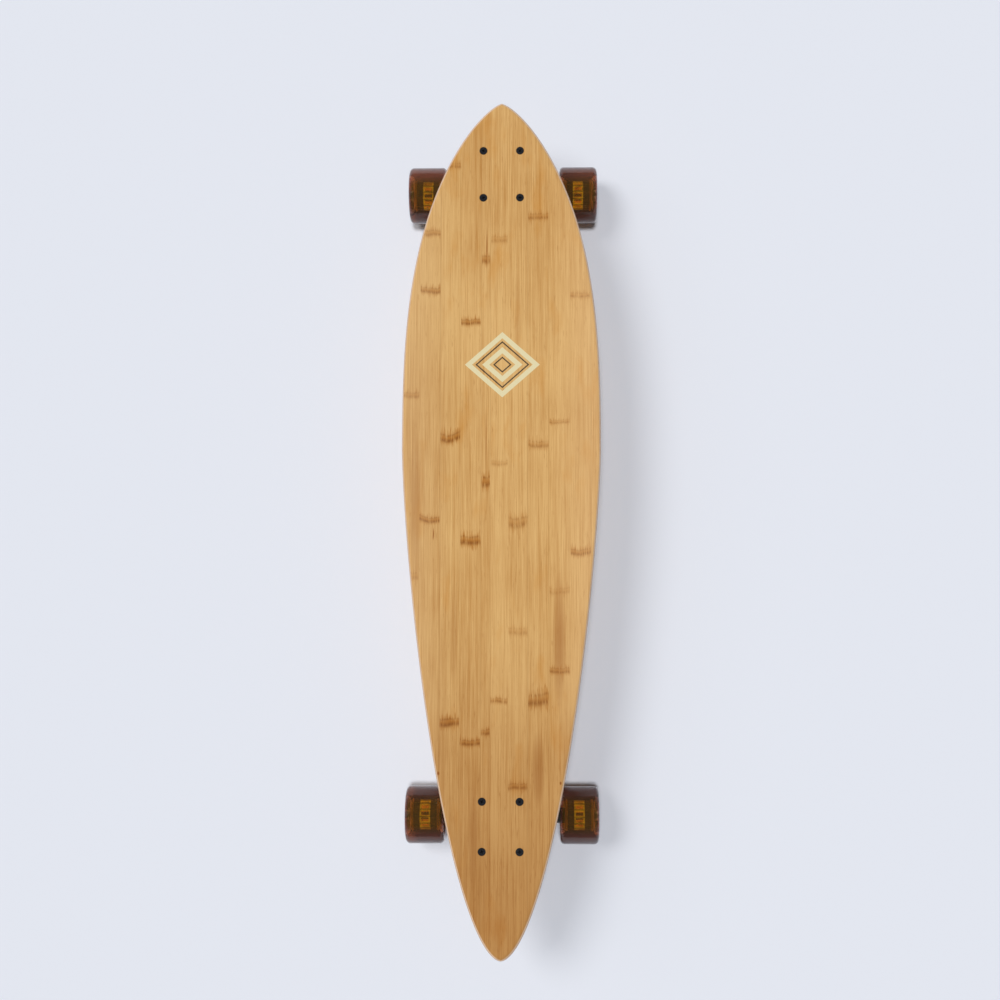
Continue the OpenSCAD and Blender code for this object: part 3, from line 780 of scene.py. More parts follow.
def makeDeck():
    veneer = deckSize["veneer"]
    layers = (
        ("underside_face", "deck_bottom_veneer", 0, veneer,
         makeBamboo("bambooBelow", -57.0, (0.93, 0.88, 0.82), False)),
        ("ply_core", "deck_core", veneer, deckThick - veneer, makePlyEdge()),
        ("riding_face", "deck_top_veneer", deckThick - veneer, deckThick,
         makeBamboo("bambooAbove", 0.0, (1.0, 1.0, 1.0), True)))
    cutter = makeHoleCutter(boltPlaces("front") + boltPlaces("rear"))
    for name, node, low, high, material in layers:
        piece = makeDeckLayer(name, levels(low, high))
        addModifier(piece, "BOOLEAN", operation="DIFFERENCE", solver="EXACT", object=cutter)
        applyModifiers(piece)
        smoothByAngle(piece, 40)
        ownMaterial(piece, material)
        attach(piece, "deck")
        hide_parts(node)
    removePiece(cutter)
    print("deck: two veneers and the ply core")


makeDeck()


def makeThread():
    # rings of a screw thread along one direction
    group, entry, leave = newGroup(
        "thread", [("Along", "Float", 0.0), ("Pitch", "Float", 0.001)], [("Height", "Float")])
    half = calc(group, "MULTIPLY", entry["Pitch"], 0.5)
    wave = calc(group, "PINGPONG", entry["Along"], half)
    group.links.new(calc(group, "DIVIDE", wave, half), leave["Height"])
    return group


thread = makeThread()

truckSize = {
    # mm; what lies on the kingpin is measured from the middle of the hanger's ring
    "steer": 50.0,              # degrees above the deck's plane
    "ringHalf": 3.5,
    "bushingHeight": 14.0,
    "bushingRadius": 12.7,
    "washer": 2.0,
    "kingpinRadius": 4.7,
    "axleRadius": 3.97,
    "roadsideNarrow": 9.6,      # the conical bushing's radius at its washer
    "shoulder": 75.0,           # from the middle of the axle to the hanger's end
    "washerGap": 25.0,          # from the inner to the outer speed washer of a wheel
    "axleNutHeight": 7.4,
    "castVoxel": 0.8,           # how finely a casting is rounded, and how many times it is smoothed
    "castRounds": 5,
}
cupWashers = (
    # piece, side of the ring, lip radius, depth of the cup, node
    ("_board_washer", -1, 14.15, 3.1, "_boardside_washer"),
    ("_road_washer", 1, 12.15, 2.9, "_roadside_washer"),
)
nutSizes = {
    # mm: across the flats, height, bore radius
    "kingNut": (14.2, 9.4, truckSize["kingpinRadius"]),
    "axleNut": (12.6, truckSize["axleNutHeight"] - 0.05, truckSize["axleRadius"]),
    "mountNut": (9.45, 5.55, 2.4),
}
boltSize = {
    # mm: the head's face is at 0 and the shank runs down
    "profile": ((0, 0), (3.95, 0), (4.2, -0.07), (4.34, -0.25), (4.34, -0.45), (2.6, -2.45), (2.4, -2.75),
                (2.4, -31.0), (1.9, -31.7), (0, -31.7)),
    "recess": (4.9, 1.1, 2.5),
    "recessMiddle": -0.75,
    "recessTaper": (0.42, 0.62, 1),
    "sunk": 0.1,                # below the riding face
    "turns": (20, 65, 5, 48),   # degrees that each head's recess is turned
    "pitch": 0.8,
    "dark": (0.016, 0.017, 0.021),
    "light": (0.040, 0.042, 0.050),
    # painted shade, near black, for the cross recess and everything below the head's face
    "dirt": (0.008, 0.008, 0.008),
    "worn": (0.30, 0.30, 0.31),
}


def jointPlace(name):
    for joint in frame["joints"]:
        if joint["name"] == name:
            return Vector(joint["pos_m"])
    raise ValueError(name)


def kingpinPlace(truck):
    # X of a lathed piece becomes the kingpin's direction, from the baseplate to the nut
    facing = Matrix.Rotation(0 if truck == "front" else math.pi, 4, "Z")
    tilt = Matrix.Rotation(math.radians(180 + truckSize["steer"]), 4, "X")
    upright = Matrix.Rotation(math.radians(-90), 4, "Y")
    return Matrix.Translation(jointPlace(truck + "_steer")) @ facing @ tilt @ upright


def axlePlace(truck):
    left = jointPlace(truck + "_left_wheel_spin")
    return Matrix.Translation((0, left.y, left.z))


def cadCopy(node, name):
    made = bpy.data.objects.new(name, nodes[node].data.copy())
    made.data.name = name
    made.data.materials.clear()
    bpy.context.scene.collection.objects.link(made)
    makeActive(made)
    bpy.ops.object.mode_set(mode="EDIT")
    bpy.ops.mesh.select_all(action="SELECT")
    bpy.ops.mesh.remove_doubles(threshold=2e-6)
    bpy.ops.object.mode_set(mode="OBJECT")
    return made


def castCopy(node, name):
    # the CAD shape with the rounded corners and fillets of a casting
    piece = cadCopy(node, name)
    addModifier(piece, "REMESH", mode="VOXEL", voxel_size=truckSize["castVoxel"] * mm, use_smooth_shade=True)
    addModifier(piece, "SMOOTH", factor=0.5, iterations=truckSize["castRounds"])
    applyModifiers(piece)
    makeActive(piece)
    bpy.ops.object.shade_smooth()
    return piece


def softCopy(node, name, width):
    # the CAD shape with its sharp edges broken
    piece = cadCopy(node, name)
    makeActive(piece)
    bpy.ops.object.mode_set(mode="EDIT")
    bpy.ops.mesh.select_all(action="SELECT")
    bpy.ops.mesh.dissolve_limited(angle_limit=math.radians(1))
    bpy.ops.object.mode_set(mode="OBJECT")
    addModifier(piece, "BEVEL", width=width * mm, segments=2, limit_method="ANGLE",
                angle_limit=math.radians(30))
    applyModifiers(piece)
    smoothByAngle(piece, 40)
    return piece


def finishPiece(piece, body, material, replaced=None):
    ownMaterial(piece, material)
    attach(piece, body)
    if replaced:
        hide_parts(replaced)


castLook = {
    "dark": (0.011, 0.011, 0.012),
    "light": (0.021, 0.021, 0.022),
    "bare": (0.55, 0.55, 0.54),
    "dust": (0.30, 0.27, 0.23),
}
metalLooks = {
    # dark and light colour, roughness, strength of the fine scratches
    "zincPlate": ((0.44, 0.44, 0.43), (0.66, 0.66, 0.67), 0.24, 1.0),
    "kingpinZinc": ((0.44, 0.44, 0.43), (0.66, 0.66, 0.67), 0.26, 1.0),
    "axleSteel": ((0.40, 0.40, 0.41), (0.62, 0.62, 0.63), 0.26, 1.0),
    "blackOxide": ((0.020, 0.021, 0.024), (0.050, 0.052, 0.058), 0.34, 1.0),
    "bearingSteel": ((0.52, 0.52, 0.54), (0.74, 0.74, 0.76), 0.12, 0.4),
}
axleThread = {
    "pitch": 1.06,              # mm
    "start": 99.6,              # mm, from the middle of the axle
}
dullLooks = {
    # dark and light colour, roughness, how fine the grain is, its strength, and how much dust lies on it
    "riserRubber": ((0.018, 0.018, 0.019), (0.036, 0.036, 0.037), 0.62, 1100.0, 0.5, 0.15),
    "sealRubber": ((0.012, 0.012, 0.013), (0.026, 0.026, 0.027), 0.45, 1800.0, 0.2, 0.08),
    "cupPlastic": ((0.62, 0.61, 0.57), (0.80, 0.79, 0.75), 0.38, 1500.0, 0.15, 0.15),
    "nutNylon": ((0.06, 0.13, 0.42), (0.09, 0.19, 0.52), 0.40, 1500.0, 0.12, 0.15),
}
bushingLook = {
    "dark": (0.48, 0.20, 0.04),
    "light": (0.66, 0.33, 0.08),
    "dust": (0.4, 0.35, 0.3),
    "depth": 0.004,             # m that light goes in
}


def makeCasting():
    # black powder coat: fine orange peel, worn to bare metal on a few edges
    material, tree, shader, coords = newMaterial("powderCoat", specularIorLevel=0.45)
    vary = useGroup(tree, mottle, Coords=coords, SlowScale=35.0, FineScale=1500.0)
    wear = useGroup(tree, edgeWear, Coords=coords, Radius=0.0009, Breakup=240.0)["Wear"]
    film = useGroup(tree, dust, Coords=coords, Amount=0.16)["Dust"]
    color = blendColors(tree, vary["Slow"], castLook["dark"], castLook["light"])
    color = blendColors(tree, film, color, castLook["dust"])
    color = blendColors(tree, wear, color, castLook["bare"])
    tree.links.new(wear, shader.inputs["Metallic"])
    coat = calc(tree, "MULTIPLY_ADD", vary["Slow"], 0.16, 0.36)
    rough = calc(tree, "ADD", coat, calc(tree, "MULTIPLY", film, 0.5))
    feed(tree, shader, color, rough, vary["Fine"], 0.35, 0.00012)
    return material


def makeMetal(name, threaded=None):
    # plated or ground steel, with the thread of the axle's ends where one is asked for
    dark, light, rough, scratch = metalLooks[name]
    material, tree, shader, coords = newMaterial(name, metallic=1.0)
    vary = useGroup(tree, mottle, Coords=coords, SlowScale=60.0, FineScale=700.0)
    wear = useGroup(tree, edgeWear, Coords=coords, Radius=0.0004, Breakup=500.0)["Wear"]
    film = useGroup(tree, dust, Coords=coords, Amount=0.25)["Dust"]
    color = blendColors(tree, vary["Slow"], dark, light)
    color = blendColors(tree, calc(tree, "MULTIPLY", film, 0.5), color, (0.22, 0.19, 0.16))
    bright = tuple(min(1.0, part * 1.3) for part in light)
    color = blendColors(tree, calc(tree, "MULTIPLY", wear, 0.5), color, bright)
    height = calc(tree, "MULTIPLY", vary["Fine"], 0.12 * scratch)
    if threaded:
        along = calc(tree, "ABSOLUTE", addNode(tree, "ShaderNodeSeparateXYZ", {0: coords}).outputs[0])
        rings = useGroup(tree, thread, Along=along, Pitch=threaded["pitch"] * mm)["Height"]
        beyond = calc(tree, "SUBTRACT", along, threaded["start"] * mm)
        beyond = calc(tree, "MULTIPLY", beyond, 4000.0, clamp=True)
        height = calc(tree, "MULTIPLY_ADD", rings, beyond, height)
    uneven = calc(tree, "MULTIPLY_ADD", vary["Slow"], 0.1, rough)
    feed(tree, shader, color, calc(tree, "MULTIPLY_ADD", vary["Fine"], 0.14, uneven), height, 0.9, 0.0004)
    return material


def makeDull(name):
    # rubber, moulded plastic and the like
    dark, light, rough, grainScale, amount, filmAmount = dullLooks[name]
    material, tree, shader, coords = newMaterial(name, specularIorLevel=0.4)
    vary = useGroup(tree, mottle, Coords=coords, SlowScale=45.0, FineScale=grainScale)
    film = useGroup(tree, dust, Coords=coords, Amount=filmAmount)["Dust"]
    color = blendColors(tree, vary["Slow"], dark, light)
    color = blendColors(tree, film, color, (0.34, 0.30, 0.26))
    roughness = calc(tree, "MULTIPLY_ADD", vary["Slow"], 0.14, calc(tree, "MULTIPLY_ADD", film, 0.3, rough))
    feed(tree, shader, color, roughness, vary["Fine"], amount, 0.00015)
    return material


def makeBushingUrethane():
    # honey-coloured and slightly milky, so light goes a little way in
    material, tree, shader, coords = newMaterial(
        "bushingUrethane", subsurfaceWeight=0.25, subsurfaceScale=bushingLook["depth"],
        subsurfaceRadius=(1.0, 0.45, 0.15), specularIorLevel=0.5)
    vary = useGroup(tree, mottle, Coords=coords, SlowScale=80.0, FineScale=1300.0)
    film = useGroup(tree, dust, Coords=coords, Amount=0.12)["Dust"]
    color = blendColors(tree, vary["Slow"], bushingLook["dark"], bushingLook["light"])
    color = blendColors(tree, film, color, bushingLook["dust"])
    feed(tree, shader, color, calc(tree, "MULTIPLY_ADD", vary["Slow"], 0.2, 0.26), vary["Fine"], 0.15, 0.0001)
    return material


casting = makeCasting()
zinc = makeMetal("zincPlate")
kingpinZinc = makeMetal("kingpinZinc")
axleSteel = makeMetal("axleSteel", axleThread)
blackSteel = makeMetal("blackOxide")
bearingSteel = makeMetal("bearingSteel")
riserRubber = makeDull("riserRubber")
sealRubber = makeDull("sealRubber")
cupPlastic = makeDull("cupPlastic")
nutNylon = makeDull("nutNylon")
bushingUrethane = makeBushingUrethane()
print("finishes: casting, metals, rubber, plastic and bushings")


def makeLockNut(name, flat, height, bore):
    # a hexagon turned down at its corners, with a round collar that holds a nylon ring; Z is the bolt's way
    hexHeight = 0.72 * height
    clearSelection()
    bpy.ops.mesh.primitive_cylinder_add(vertices=6, radius=flat / 2 / math.cos(math.pi / 6) * mm,
                                        depth=hexHeight * mm, location=(0, 0, hexHeight / 2 * mm))
    nut = nameNew(name)
    applyPlace(nut)
    upright = Matrix.Rotation(math.radians(-90), 4, "Y")
    blank = latheProfile("nutBlank", [(0, 0), (0.475 * flat, 0), (0.60 * flat, 0.10 * flat),
                                      (0.60 * flat, hexHeight - 0.09 * flat), (0.485 * flat, hexHeight),
                                      (0, hexHeight)], 64)
    blank.data.transform(upright)
    collarR = 0.43 * flat
    drillR = bore + 0.03
    collar = latheProfile("nutCollar", [
        (bore + 0.35, hexHeight - 0.3), (collarR, hexHeight - 0.3), (collarR, height - 0.9),
        (collarR - 0.12, height - 0.4), (collarR - 0.5, height - 0.05), (collarR - 0.9, height - 0.05),
        (collarR - 1.0, height - 0.3), (bore + 0.9, height - 0.45)], 64)
    collar.data.transform(upright)
    insert = latheProfile(name + "Insert", [
        (bore - 0.02, hexHeight), (bore + 1.0, hexHeight), (bore + 1.0, height - 0.6),
        (bore + 0.6, height - 0.42), (bore + 0.15, height - 0.5), (bore - 0.02, height - 0.75)], 48)
    insert.data.transform(upright)
    addModifier(nut, "BOOLEAN", operation="INTERSECT", solver="EXACT", object=blank)
    applyModifiers(nut)
    clearSelection()
    bpy.ops.mesh.primitive_cylinder_add(vertices=48, radius=drillR * mm, depth=4 * height * mm,
                                        location=(0, 0, 0))
    drill = nameNew("nutDrill")
    addModifier(nut, "BOOLEAN", operation="DIFFERENCE", solver="EXACT", object=drill)
    applyModifiers(nut)
    addModifier(nut, "BEVEL", width=0.18 * mm, segments=2, limit_method="ANGLE", angle_limit=math.radians(28))
    applyModifiers(nut)
    for tool in (blank, drill):
        removePiece(tool)
    nut = joinPieces([nut, collar], name)
    for piece in (nut, insert):
        mendNormals(piece)
        smoothByAngle(piece, 32)
    return nut, insert


def placeNuts(name, pair, places, body, material, replaced):
    bodies, inserts = ([copyOf(piece, "copy", place) for place in places] for piece in pair)
    finishPiece(joinPieces(bodies, name), body, material, replaced)
    finishPiece(joinPieces(inserts, name + "_inserts"), body, nutNylon)


def makeBolt():
    # flat countersunk head with a cross recess
    bolt = latheProfile("bolt", list(boltSize["profile"]), 64)
    bolt.data.transform(Matrix.Rotation(math.radians(-90), 4, "Y"))
    for turn in (0, 90):
        clearSelection()
        bpy.ops.mesh.primitive_cube_add(size=1, location=(0, 0, boltSize["recessMiddle"] * mm),
                                        scale=[side * mm for side in boltSize["recess"]])
        blade = nameNew("recess")
        applyPlace(blade)
        selectFaces(blade, lambda face: face.normal.z < -0.9)
        bpy.ops.transform.resize(value=boltSize["recessTaper"])
        bpy.ops.object.mode_set(mode="OBJECT")
        blade.data.transform(Matrix.Rotation(math.radians(turn), 4, "Z"))
        addModifier(bolt, "BOOLEAN", operation="DIFFERENCE", solver="EXACT", object=blade)
        applyModifiers(bolt)
        removePiece(blade)
    addModifier(bolt, "BEVEL", width=0.1 * mm, segments=2, limit_method="ANGLE", angle_limit=math.radians(40))
    applyModifiers(bolt)
    mendNormals(bolt)
    smoothByAngle(bolt, 35)
    return bolt


def makeBoltSteel():
    # black oxide, with the thread's rings below the deck and painted shade, near black, in the recess
    material, tree, shader, coords = newMaterial("boltSteel", metallic=0.4, specularIorLevel=0.5)
    vary = useGroup(tree, mottle, Coords=coords, SlowScale=160.0, FineScale=1600.0)
    wear = useGroup(tree, edgeWear, Coords=coords, Radius=0.0003, Breakup=700.0)["Wear"]
    height = addNode(tree, "ShaderNodeSeparateXYZ", {0: coords}).outputs[2]
    # painted shade: near black from just below the head's face down, so in the cross recess and on the shank
    fromHead = calc(tree, "SUBTRACT", (deckTop - 0.3) * mm, height)
    sunk = calc(tree, "MULTIPLY", fromHead, 1600.0, clamp=True)
    color = blendColors(tree, vary["Slow"], boltSize["dark"], boltSize["light"])
    color = blendColors(tree, sunk, color, boltSize["dirt"])
    color = blendColors(tree, calc(tree, "MULTIPLY", wear, 0.35), color, boltSize["worn"])
    rings = useGroup(tree, thread, Along=height, Pitch=boltSize["pitch"] * mm)["Height"]
    below = calc(tree, "MULTIPLY", calc(tree, "SUBTRACT", (deckBase - 3) * mm, height), 4000.0, clamp=True)
    bumps = calc(tree, "MULTIPLY_ADD", rings, below, calc(tree, "MULTIPLY", vary["Fine"], 0.15))
    feed(tree, shader, color, calc(tree, "MULTIPLY_ADD", vary["Slow"], 0.2, 0.30), bumps, 0.9, 0.0003)
    return material


def bushingProfile(low, high, wide, narrow):
    # (radius, along): straight bore, rounded corners and a slightly barrelled wall, in several rings
    bore = truckSize["kingpinRadius"] + 0.15
    points = [(bore, low), (wide - 1.0, low), (wide - 0.3, low + 0.3), (wide, low + 1.0)]
    for i in range(1, 8):
        share = i / 8
        radius = wide + (narrow - wide) * max(share - 0.15, 0) / 0.85 + 0.25 * math.sin(math.pi * share)
        points.append((radius, low + 1.0 + (high - low - 2.0) * share))
    points += [(narrow, high - 1.0), (narrow - 0.3, high - 0.3), (narrow - 1.0, high), (bore, high)]
    return points


def makeBushings(truck, place):
    ring, top = truckSize["ringHalf"], truckSize["ringHalf"] + truckSize["bushingHeight"]
    wide = truckSize["bushingRadius"]
    cone = bushingProfile(ring, top, wide, truckSize["roadsideNarrow"])
    barrel = [(radius, -along) for radius, along in bushingProfile(ring, top, wide, wide - 0.2)]
    roadside = latheProfile(truck + "_road_bushing", cone, 72)
    boardside = latheProfile(truck + "_board_bushing", barrel, 72)
    for piece, side, node in ((roadside, 1, "_roadside_bushing"), (boardside, -1, "_boardside_bushing")):
        piece.data.transform(place)
        mendNormals(piece)
        smoothByAngle(piece, 50)
        ownMaterial(piece, bushingUrethane)
        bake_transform(piece)
        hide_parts(truck + node)


def makeWashers(truck, place):
    # cupped washers hold the outer end of each bushing
    seat = truckSize["ringHalf"] + truckSize["bushingHeight"]
    back = seat + truckSize["washer"]
    bore = truckSize["kingpinRadius"] + 0.12
    for name, sign, lip, depth, node in cupWashers:
        profile = (
            (bore, back), (lip - 1.2, back), (lip - 0.4, back - 0.3), (lip, back - 1.1),
            (lip, back - depth + 0.2), (lip - 0.2, back - depth), (lip - 0.7, back - depth),
            (lip - 0.9, back - depth + 0.25), (lip - 1.05, seat + 0.5), (lip - 1.5, seat), (bore, seat))
        piece = latheProfile(truck + name, [(radius, sign * along) for radius, along in profile], 72)
        piece.data.transform(place)
        mendNormals(piece)
        smoothByAngle(piece, 40)
        finishPiece(piece, "deck", zinc, truck + node)


def makeTruckBody(truck, hanger):
    # the two castings, the pad under them and the kingpin, from the CAD shapes
    for node, made, body in (
            (hanger, "_cast_hanger", hanger),
            (truck + "_baseplate", "_cast_baseplate", "deck")):
        piece = castCopy(node, truck + made)
        finishPiece(piece, body, casting, node)
    for node, made, width, slot, material in (
            ("_riser_pad", "_riser", 0.5, "riser_rubber", riserRubber),
            ("_kingpin", "_king_bolt", 0.35, "zinc_steel", kingpinZinc)):
        piece = softCopy(truck + node, truck + made, width)
        finishPiece(piece, "deck", material, truck + node)


def makeTruck(truck, kingNut, axleNut, mountNut, bolt, boltSteel):
    place = kingpinPlace(truck)
    hanger = truck + "_hanger"
    makeTruckBody(truck, hanger)
    makeBushings(truck, place)
    makeWashers(truck, place)

    upright = Matrix.Rotation(math.radians(90), 4, "Y")     # Z of a nut to X of a lathed piece
    nutSeat = truckSize["ringHalf"] + truckSize["bushingHeight"] + truckSize["washer"]
    placeNuts(truck + "_king_nut", kingNut, [place @ Matrix.Translation((nutSeat * mm, 0, 0)) @ upright],
              "deck", zinc, truck + "_kingpin_nut")
    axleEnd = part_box(truck + "_axle_nuts")[1].x
    outward = Matrix.Translation((axleEnd - truckSize["axleNutHeight"] * mm, 0, 0))
    ends = [axlePlace(truck) @ Matrix.Rotation(turn, 4, "Z") @ outward @ upright for turn in (0, math.pi)]
    placeNuts(truck + "_end_nuts", axleNut, ends, hanger, zinc, truck + "_axle_nuts")

    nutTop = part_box(truck + "_mounting_nuts")[1].z
    upsideDown = Matrix.Rotation(math.pi, 4, "X")
    below = [Matrix.Translation((x, y, nutTop)) @ upsideDown for x, y in boltPlaces(truck)]
    placeNuts(truck + "_bolt_nuts", mountNut, below, "deck", blackSteel,
              truck + "_mounting_nuts")
    faceHeight = (deckTop - boltSize["sunk"]) * mm
    heads = []
    for (x, y), turn in zip(boltPlaces(truck), boltSize["turns"]):
        seat = Matrix.Translation((x, y, faceHeight)) @ Matrix.Rotation(math.radians(turn), 4, "Z")
        heads.append(copyOf(bolt, "copy", seat))
    heads = joinPieces(heads, truck + "_bolts")
    finishPiece(heads, "deck", boltSteel, truck + "_mounting_bolts")

    washers = [makeSpeedWasher(truck, side * (truckSize["shoulder"] + along))
               for side in (-1, 1) for along in (0.5, truckSize["washerGap"] + 0.5)]
    washers = joinPieces(washers, truck + "_thin_washers")
    finishPiece(washers, hanger, zinc, truck + "_speed_washers")
    for node, material in (("_axle", axleSteel), ("_pivot_cup", cupPlastic),
                           ("_bearing_inner_rings", bearingSteel), ("_bearing_spacers", zinc)):
        ownMaterial(nodes[truck + node], material)


def makeSpeedWasher(truck, along):
    piece = latheProfile("thinWasher", [(4.02, along - 0.48), (5.75, along - 0.48), (5.9, along - 0.33),
                                        (5.9, along + 0.33), (5.75, along + 0.48), (4.02, along + 0.48)], 48)
    piece.data.transform(axlePlace(truck))
    smoothByAngle(piece, 30)
    return piece


def makeTrucks():
    kingNut, axleNut, mountNut = (makeLockNut(name, *nutSizes[name]) for name in nutSizes)
    bolt = makeBolt()
    boltSteel = makeBoltSteel()
    for truck in truckNames:
        makeTruck(truck, kingNut, axleNut, mountNut, bolt, boltSteel)
        print("truck:", truck)
    for piece in (*kingNut, *axleNut, *mountNut, bolt):
        removePiece(piece)


makeTrucks()


wheelSize = {
    # mm
    "rim": 32.5,
    "half": 22.0,
    "lip": 5.2,
    "core": 13.6,
    "flange": 16.5,
    "coreHalf": 15.5,
    "flangeWidth": 2.0,
    "ribs": 12,
    "windowHalf": 4.4,
    "windowWide": 3.7,          # round the axle, before it widens outwards
    "windowDeep": 7.0,
    "windowMiddle": 11.5,       # from the axle
    "windowOuter": 1.42,        # how much wider its outer end is, and how much narrower its inner end
    "windowInner": 0.78,
    "rib": 1.5,
    "ribHeight": 15.6,          # from the axle
    "boreRadius": 9.4,
    "bearingRadius": 11.0,
    "bearingMiddle": 8.5,       # from the wheel's middle
    "bearingHalf": 3.5,
    "sealInset": 0.62,
}


def tyreProfile():
    # (radius, along): keyed on the core, dished sides, round lips and a flat tread
    size = wheelSize
    core, half, lip, rim = size["core"] - 0.1, size["half"], size["lip"], size["rim"]
    inner, flange = size["coreHalf"] - size["flangeWidth"], size["flange"] - 0.1
    right = [(core, inner + 0.1), (flange, inner + 0.1), (flange, size["coreHalf"] - 0.15),
             (17.3, 15.75), (18.6, 16.5), (20.4, 18.2), (22.0, 20.1), (23.4, 21.4), (25.0, 21.9)]
    right += [(radius, along) for radius, along in reversed(arcPoints(rim - lip, half - lip, lip, 0, 90, 10))]
    right += [(rim, 9.0)]
    left = [(radius, -along) for radius, along in reversed(right)]
    return right + [(rim, 0.0)] + left


def makeCoreRib():
    size = wheelSize
    clearSelection()
    low = size["core"] - 0.8
    length = 2 * (size["coreHalf"] - size["flangeWidth"]) + 0.4
    bpy.ops.mesh.primitive_cube_add(size=1, location=(0, 0, (low + size["ribHeight"]) / 2 * mm),
                                    scale=(length * mm, size["rib"] * mm, (size["ribHeight"] - low) * mm))
    rib = nameNew("rib")
    applyPlace(rib)
    addModifier(rib, "BEVEL", width=0.3 * mm, segments=2)
    applyModifiers(rib)
    return rib


def makeWindows():
    # a widening block between every two ribs
    size = wheelSize
    windows = []
    for i in range(size["ribs"]):
        clearSelection()
        bpy.ops.mesh.primitive_cube_add(
            size=1, location=(0, 0, size["windowMiddle"] * mm),
            scale=(2 * size["windowHalf"] * mm, size["windowWide"] * mm, size["windowDeep"] * mm))
        window = nameNew("window")
        applyPlace(window)
        selectFaces(window, lambda face: face.normal.z > 0.9)
        bpy.ops.transform.resize(value=(1, size["windowOuter"], 1))
        selectFaces(window, lambda face: face.normal.z < -0.9)
        bpy.ops.transform.resize(value=(1, size["windowInner"], 1))
        bpy.ops.object.mode_set(mode="OBJECT")
        window.data.transform(Matrix.Rotation(2 * math.pi * (i + 0.5) / size["ribs"], 4, "X"))
        windows.append(window)
    return joinPieces(windows, "windows")


def makeCore():
    # bearing seats, two flanges and a waist with windows, keyed into the urethane by ribs
    size = wheelSize
    half, edge, seat = size["coreHalf"], size["flange"], size["bearingMiddle"] - size["bearingHalf"]
    inner, bearing = half - size["flangeWidth"], size["bearingRadius"]
    right = [(size["boreRadius"], seat), (bearing, seat), (bearing, half - 3.3),
             (bearing + 1.5, half - 0.3), (bearing + 1.9, half), (edge - 0.5, half), (edge, half - 0.4),
             (edge, inner + 0.3), (edge - 0.3, inner), (size["core"], inner)]
    left = [(radius, -along) for radius, along in reversed(right)]
    body = latheProfile("core", right + left, 96)
    windows = makeWindows()
    addModifier(body, "BOOLEAN", operation="DIFFERENCE", solver="EXACT", object=windows)
    applyModifiers(body)
    removePiece(windows)
    rib = makeCoreRib()
    ribs = [copyOf(rib, "rib", Matrix.Rotation(2 * math.pi * i / size["ribs"], 4, "X"))
            for i in range(size["ribs"])]
    removePiece(rib)
    body = joinPieces([body] + ribs, "core")
    smoothByAngle(body, 35)
    return body


def makeShields():
    # two pressed seals to a bearing, each with a ridge and a lip at the inner ring
    size = wheelSize
    rings = []
    for bearing in (-1, 1):
        for face in (-1, 1):
            at = bearing * size["bearingMiddle"] + face * (size["bearingHalf"] - size["sealInset"])
            profile = [(6.32, 0.0), (9.7, 0.0), (9.7, 0.30), (9.45, 0.42), (8.9, 0.42), (8.6, 0.24),
                       (7.4, 0.24), (7.1, 0.42), (6.6, 0.42), (6.32, 0.3)]
            rings.append(latheProfile("seal", [(radius, at + face * along) for radius, along in profile], 64))
    shields = joinPieces(rings, "seals")
    mendNormals(shields)
    smoothByAngle(shields, 35)
    return shields


def wheelAway(tree, coords):
    # the place along the axle, and the distance from the nearer axle
    split = addNode(tree, "ShaderNodeSeparateXYZ", {0: coords})
    front, rear = (jointPlace(truck + "_left_wheel_spin") for truck in truckNames)
    ahead = calc(tree, "GREATER_THAN", split.outputs[1], 0.0)
    axle = calc(tree, "MULTIPLY_ADD", ahead, front.y - rear.y, rear.y)
    back = calc(tree, "SUBTRACT", split.outputs[1], axle)
    up = calc(tree, "SUBTRACT", split.outputs[2], front.z)
    square = calc(tree, "MULTIPLY_ADD", back, back, calc(tree, "MULTIPLY", up, up))
    return split.outputs[0], calc(tree, "SQRT", square)


urethaneLook = {
    "clear": (0.50, 0.31, 0.05),
    # the haze and rim colours are painted: a lighter haze where one looks in at a slant, and the sky's
    # reflection at the rims
    "hazy": (0.78, 0.36, 0.28),
    "rim": (0.66, 0.50, 0.58),
    "stain": (0.35, 0.16, 0.12),
    "absorb": (0.66, 0.42, 0.12),
    "density": 50.0,
    "rolled": 1.2,              # mm of the tread that counts as rolled on
}
coreLook = {
    # base colours: the window colour is painted light and the shade colour is painted shade
    "glow": ((0.92, 0.50, 0.03), (1.0, 0.66, 0.08)),
    "rib": (0.50, 0.22, 0.02),
    "shade": (0.13, 0.05, 0.008),
    "flange": (0.72, 0.33, 0.05),
    # emission painted on as light, standing in for the light that reaches the plastic through the urethane:
    # outside and inside the windows, on the ribs and on the flanges
    "paintedGlowOutsideWindows": (0.10, 0.042, 0.001),
    "paintedGlowInWindows": (0.90, 0.72, 0.01),
    "paintedGlowOnRibs": (0.10, 0.05, 0.0),
    "paintedGlowOnFlanges": (0.22, 0.085, 0.004),
    "paintedGlowStrength": 0.5,
}


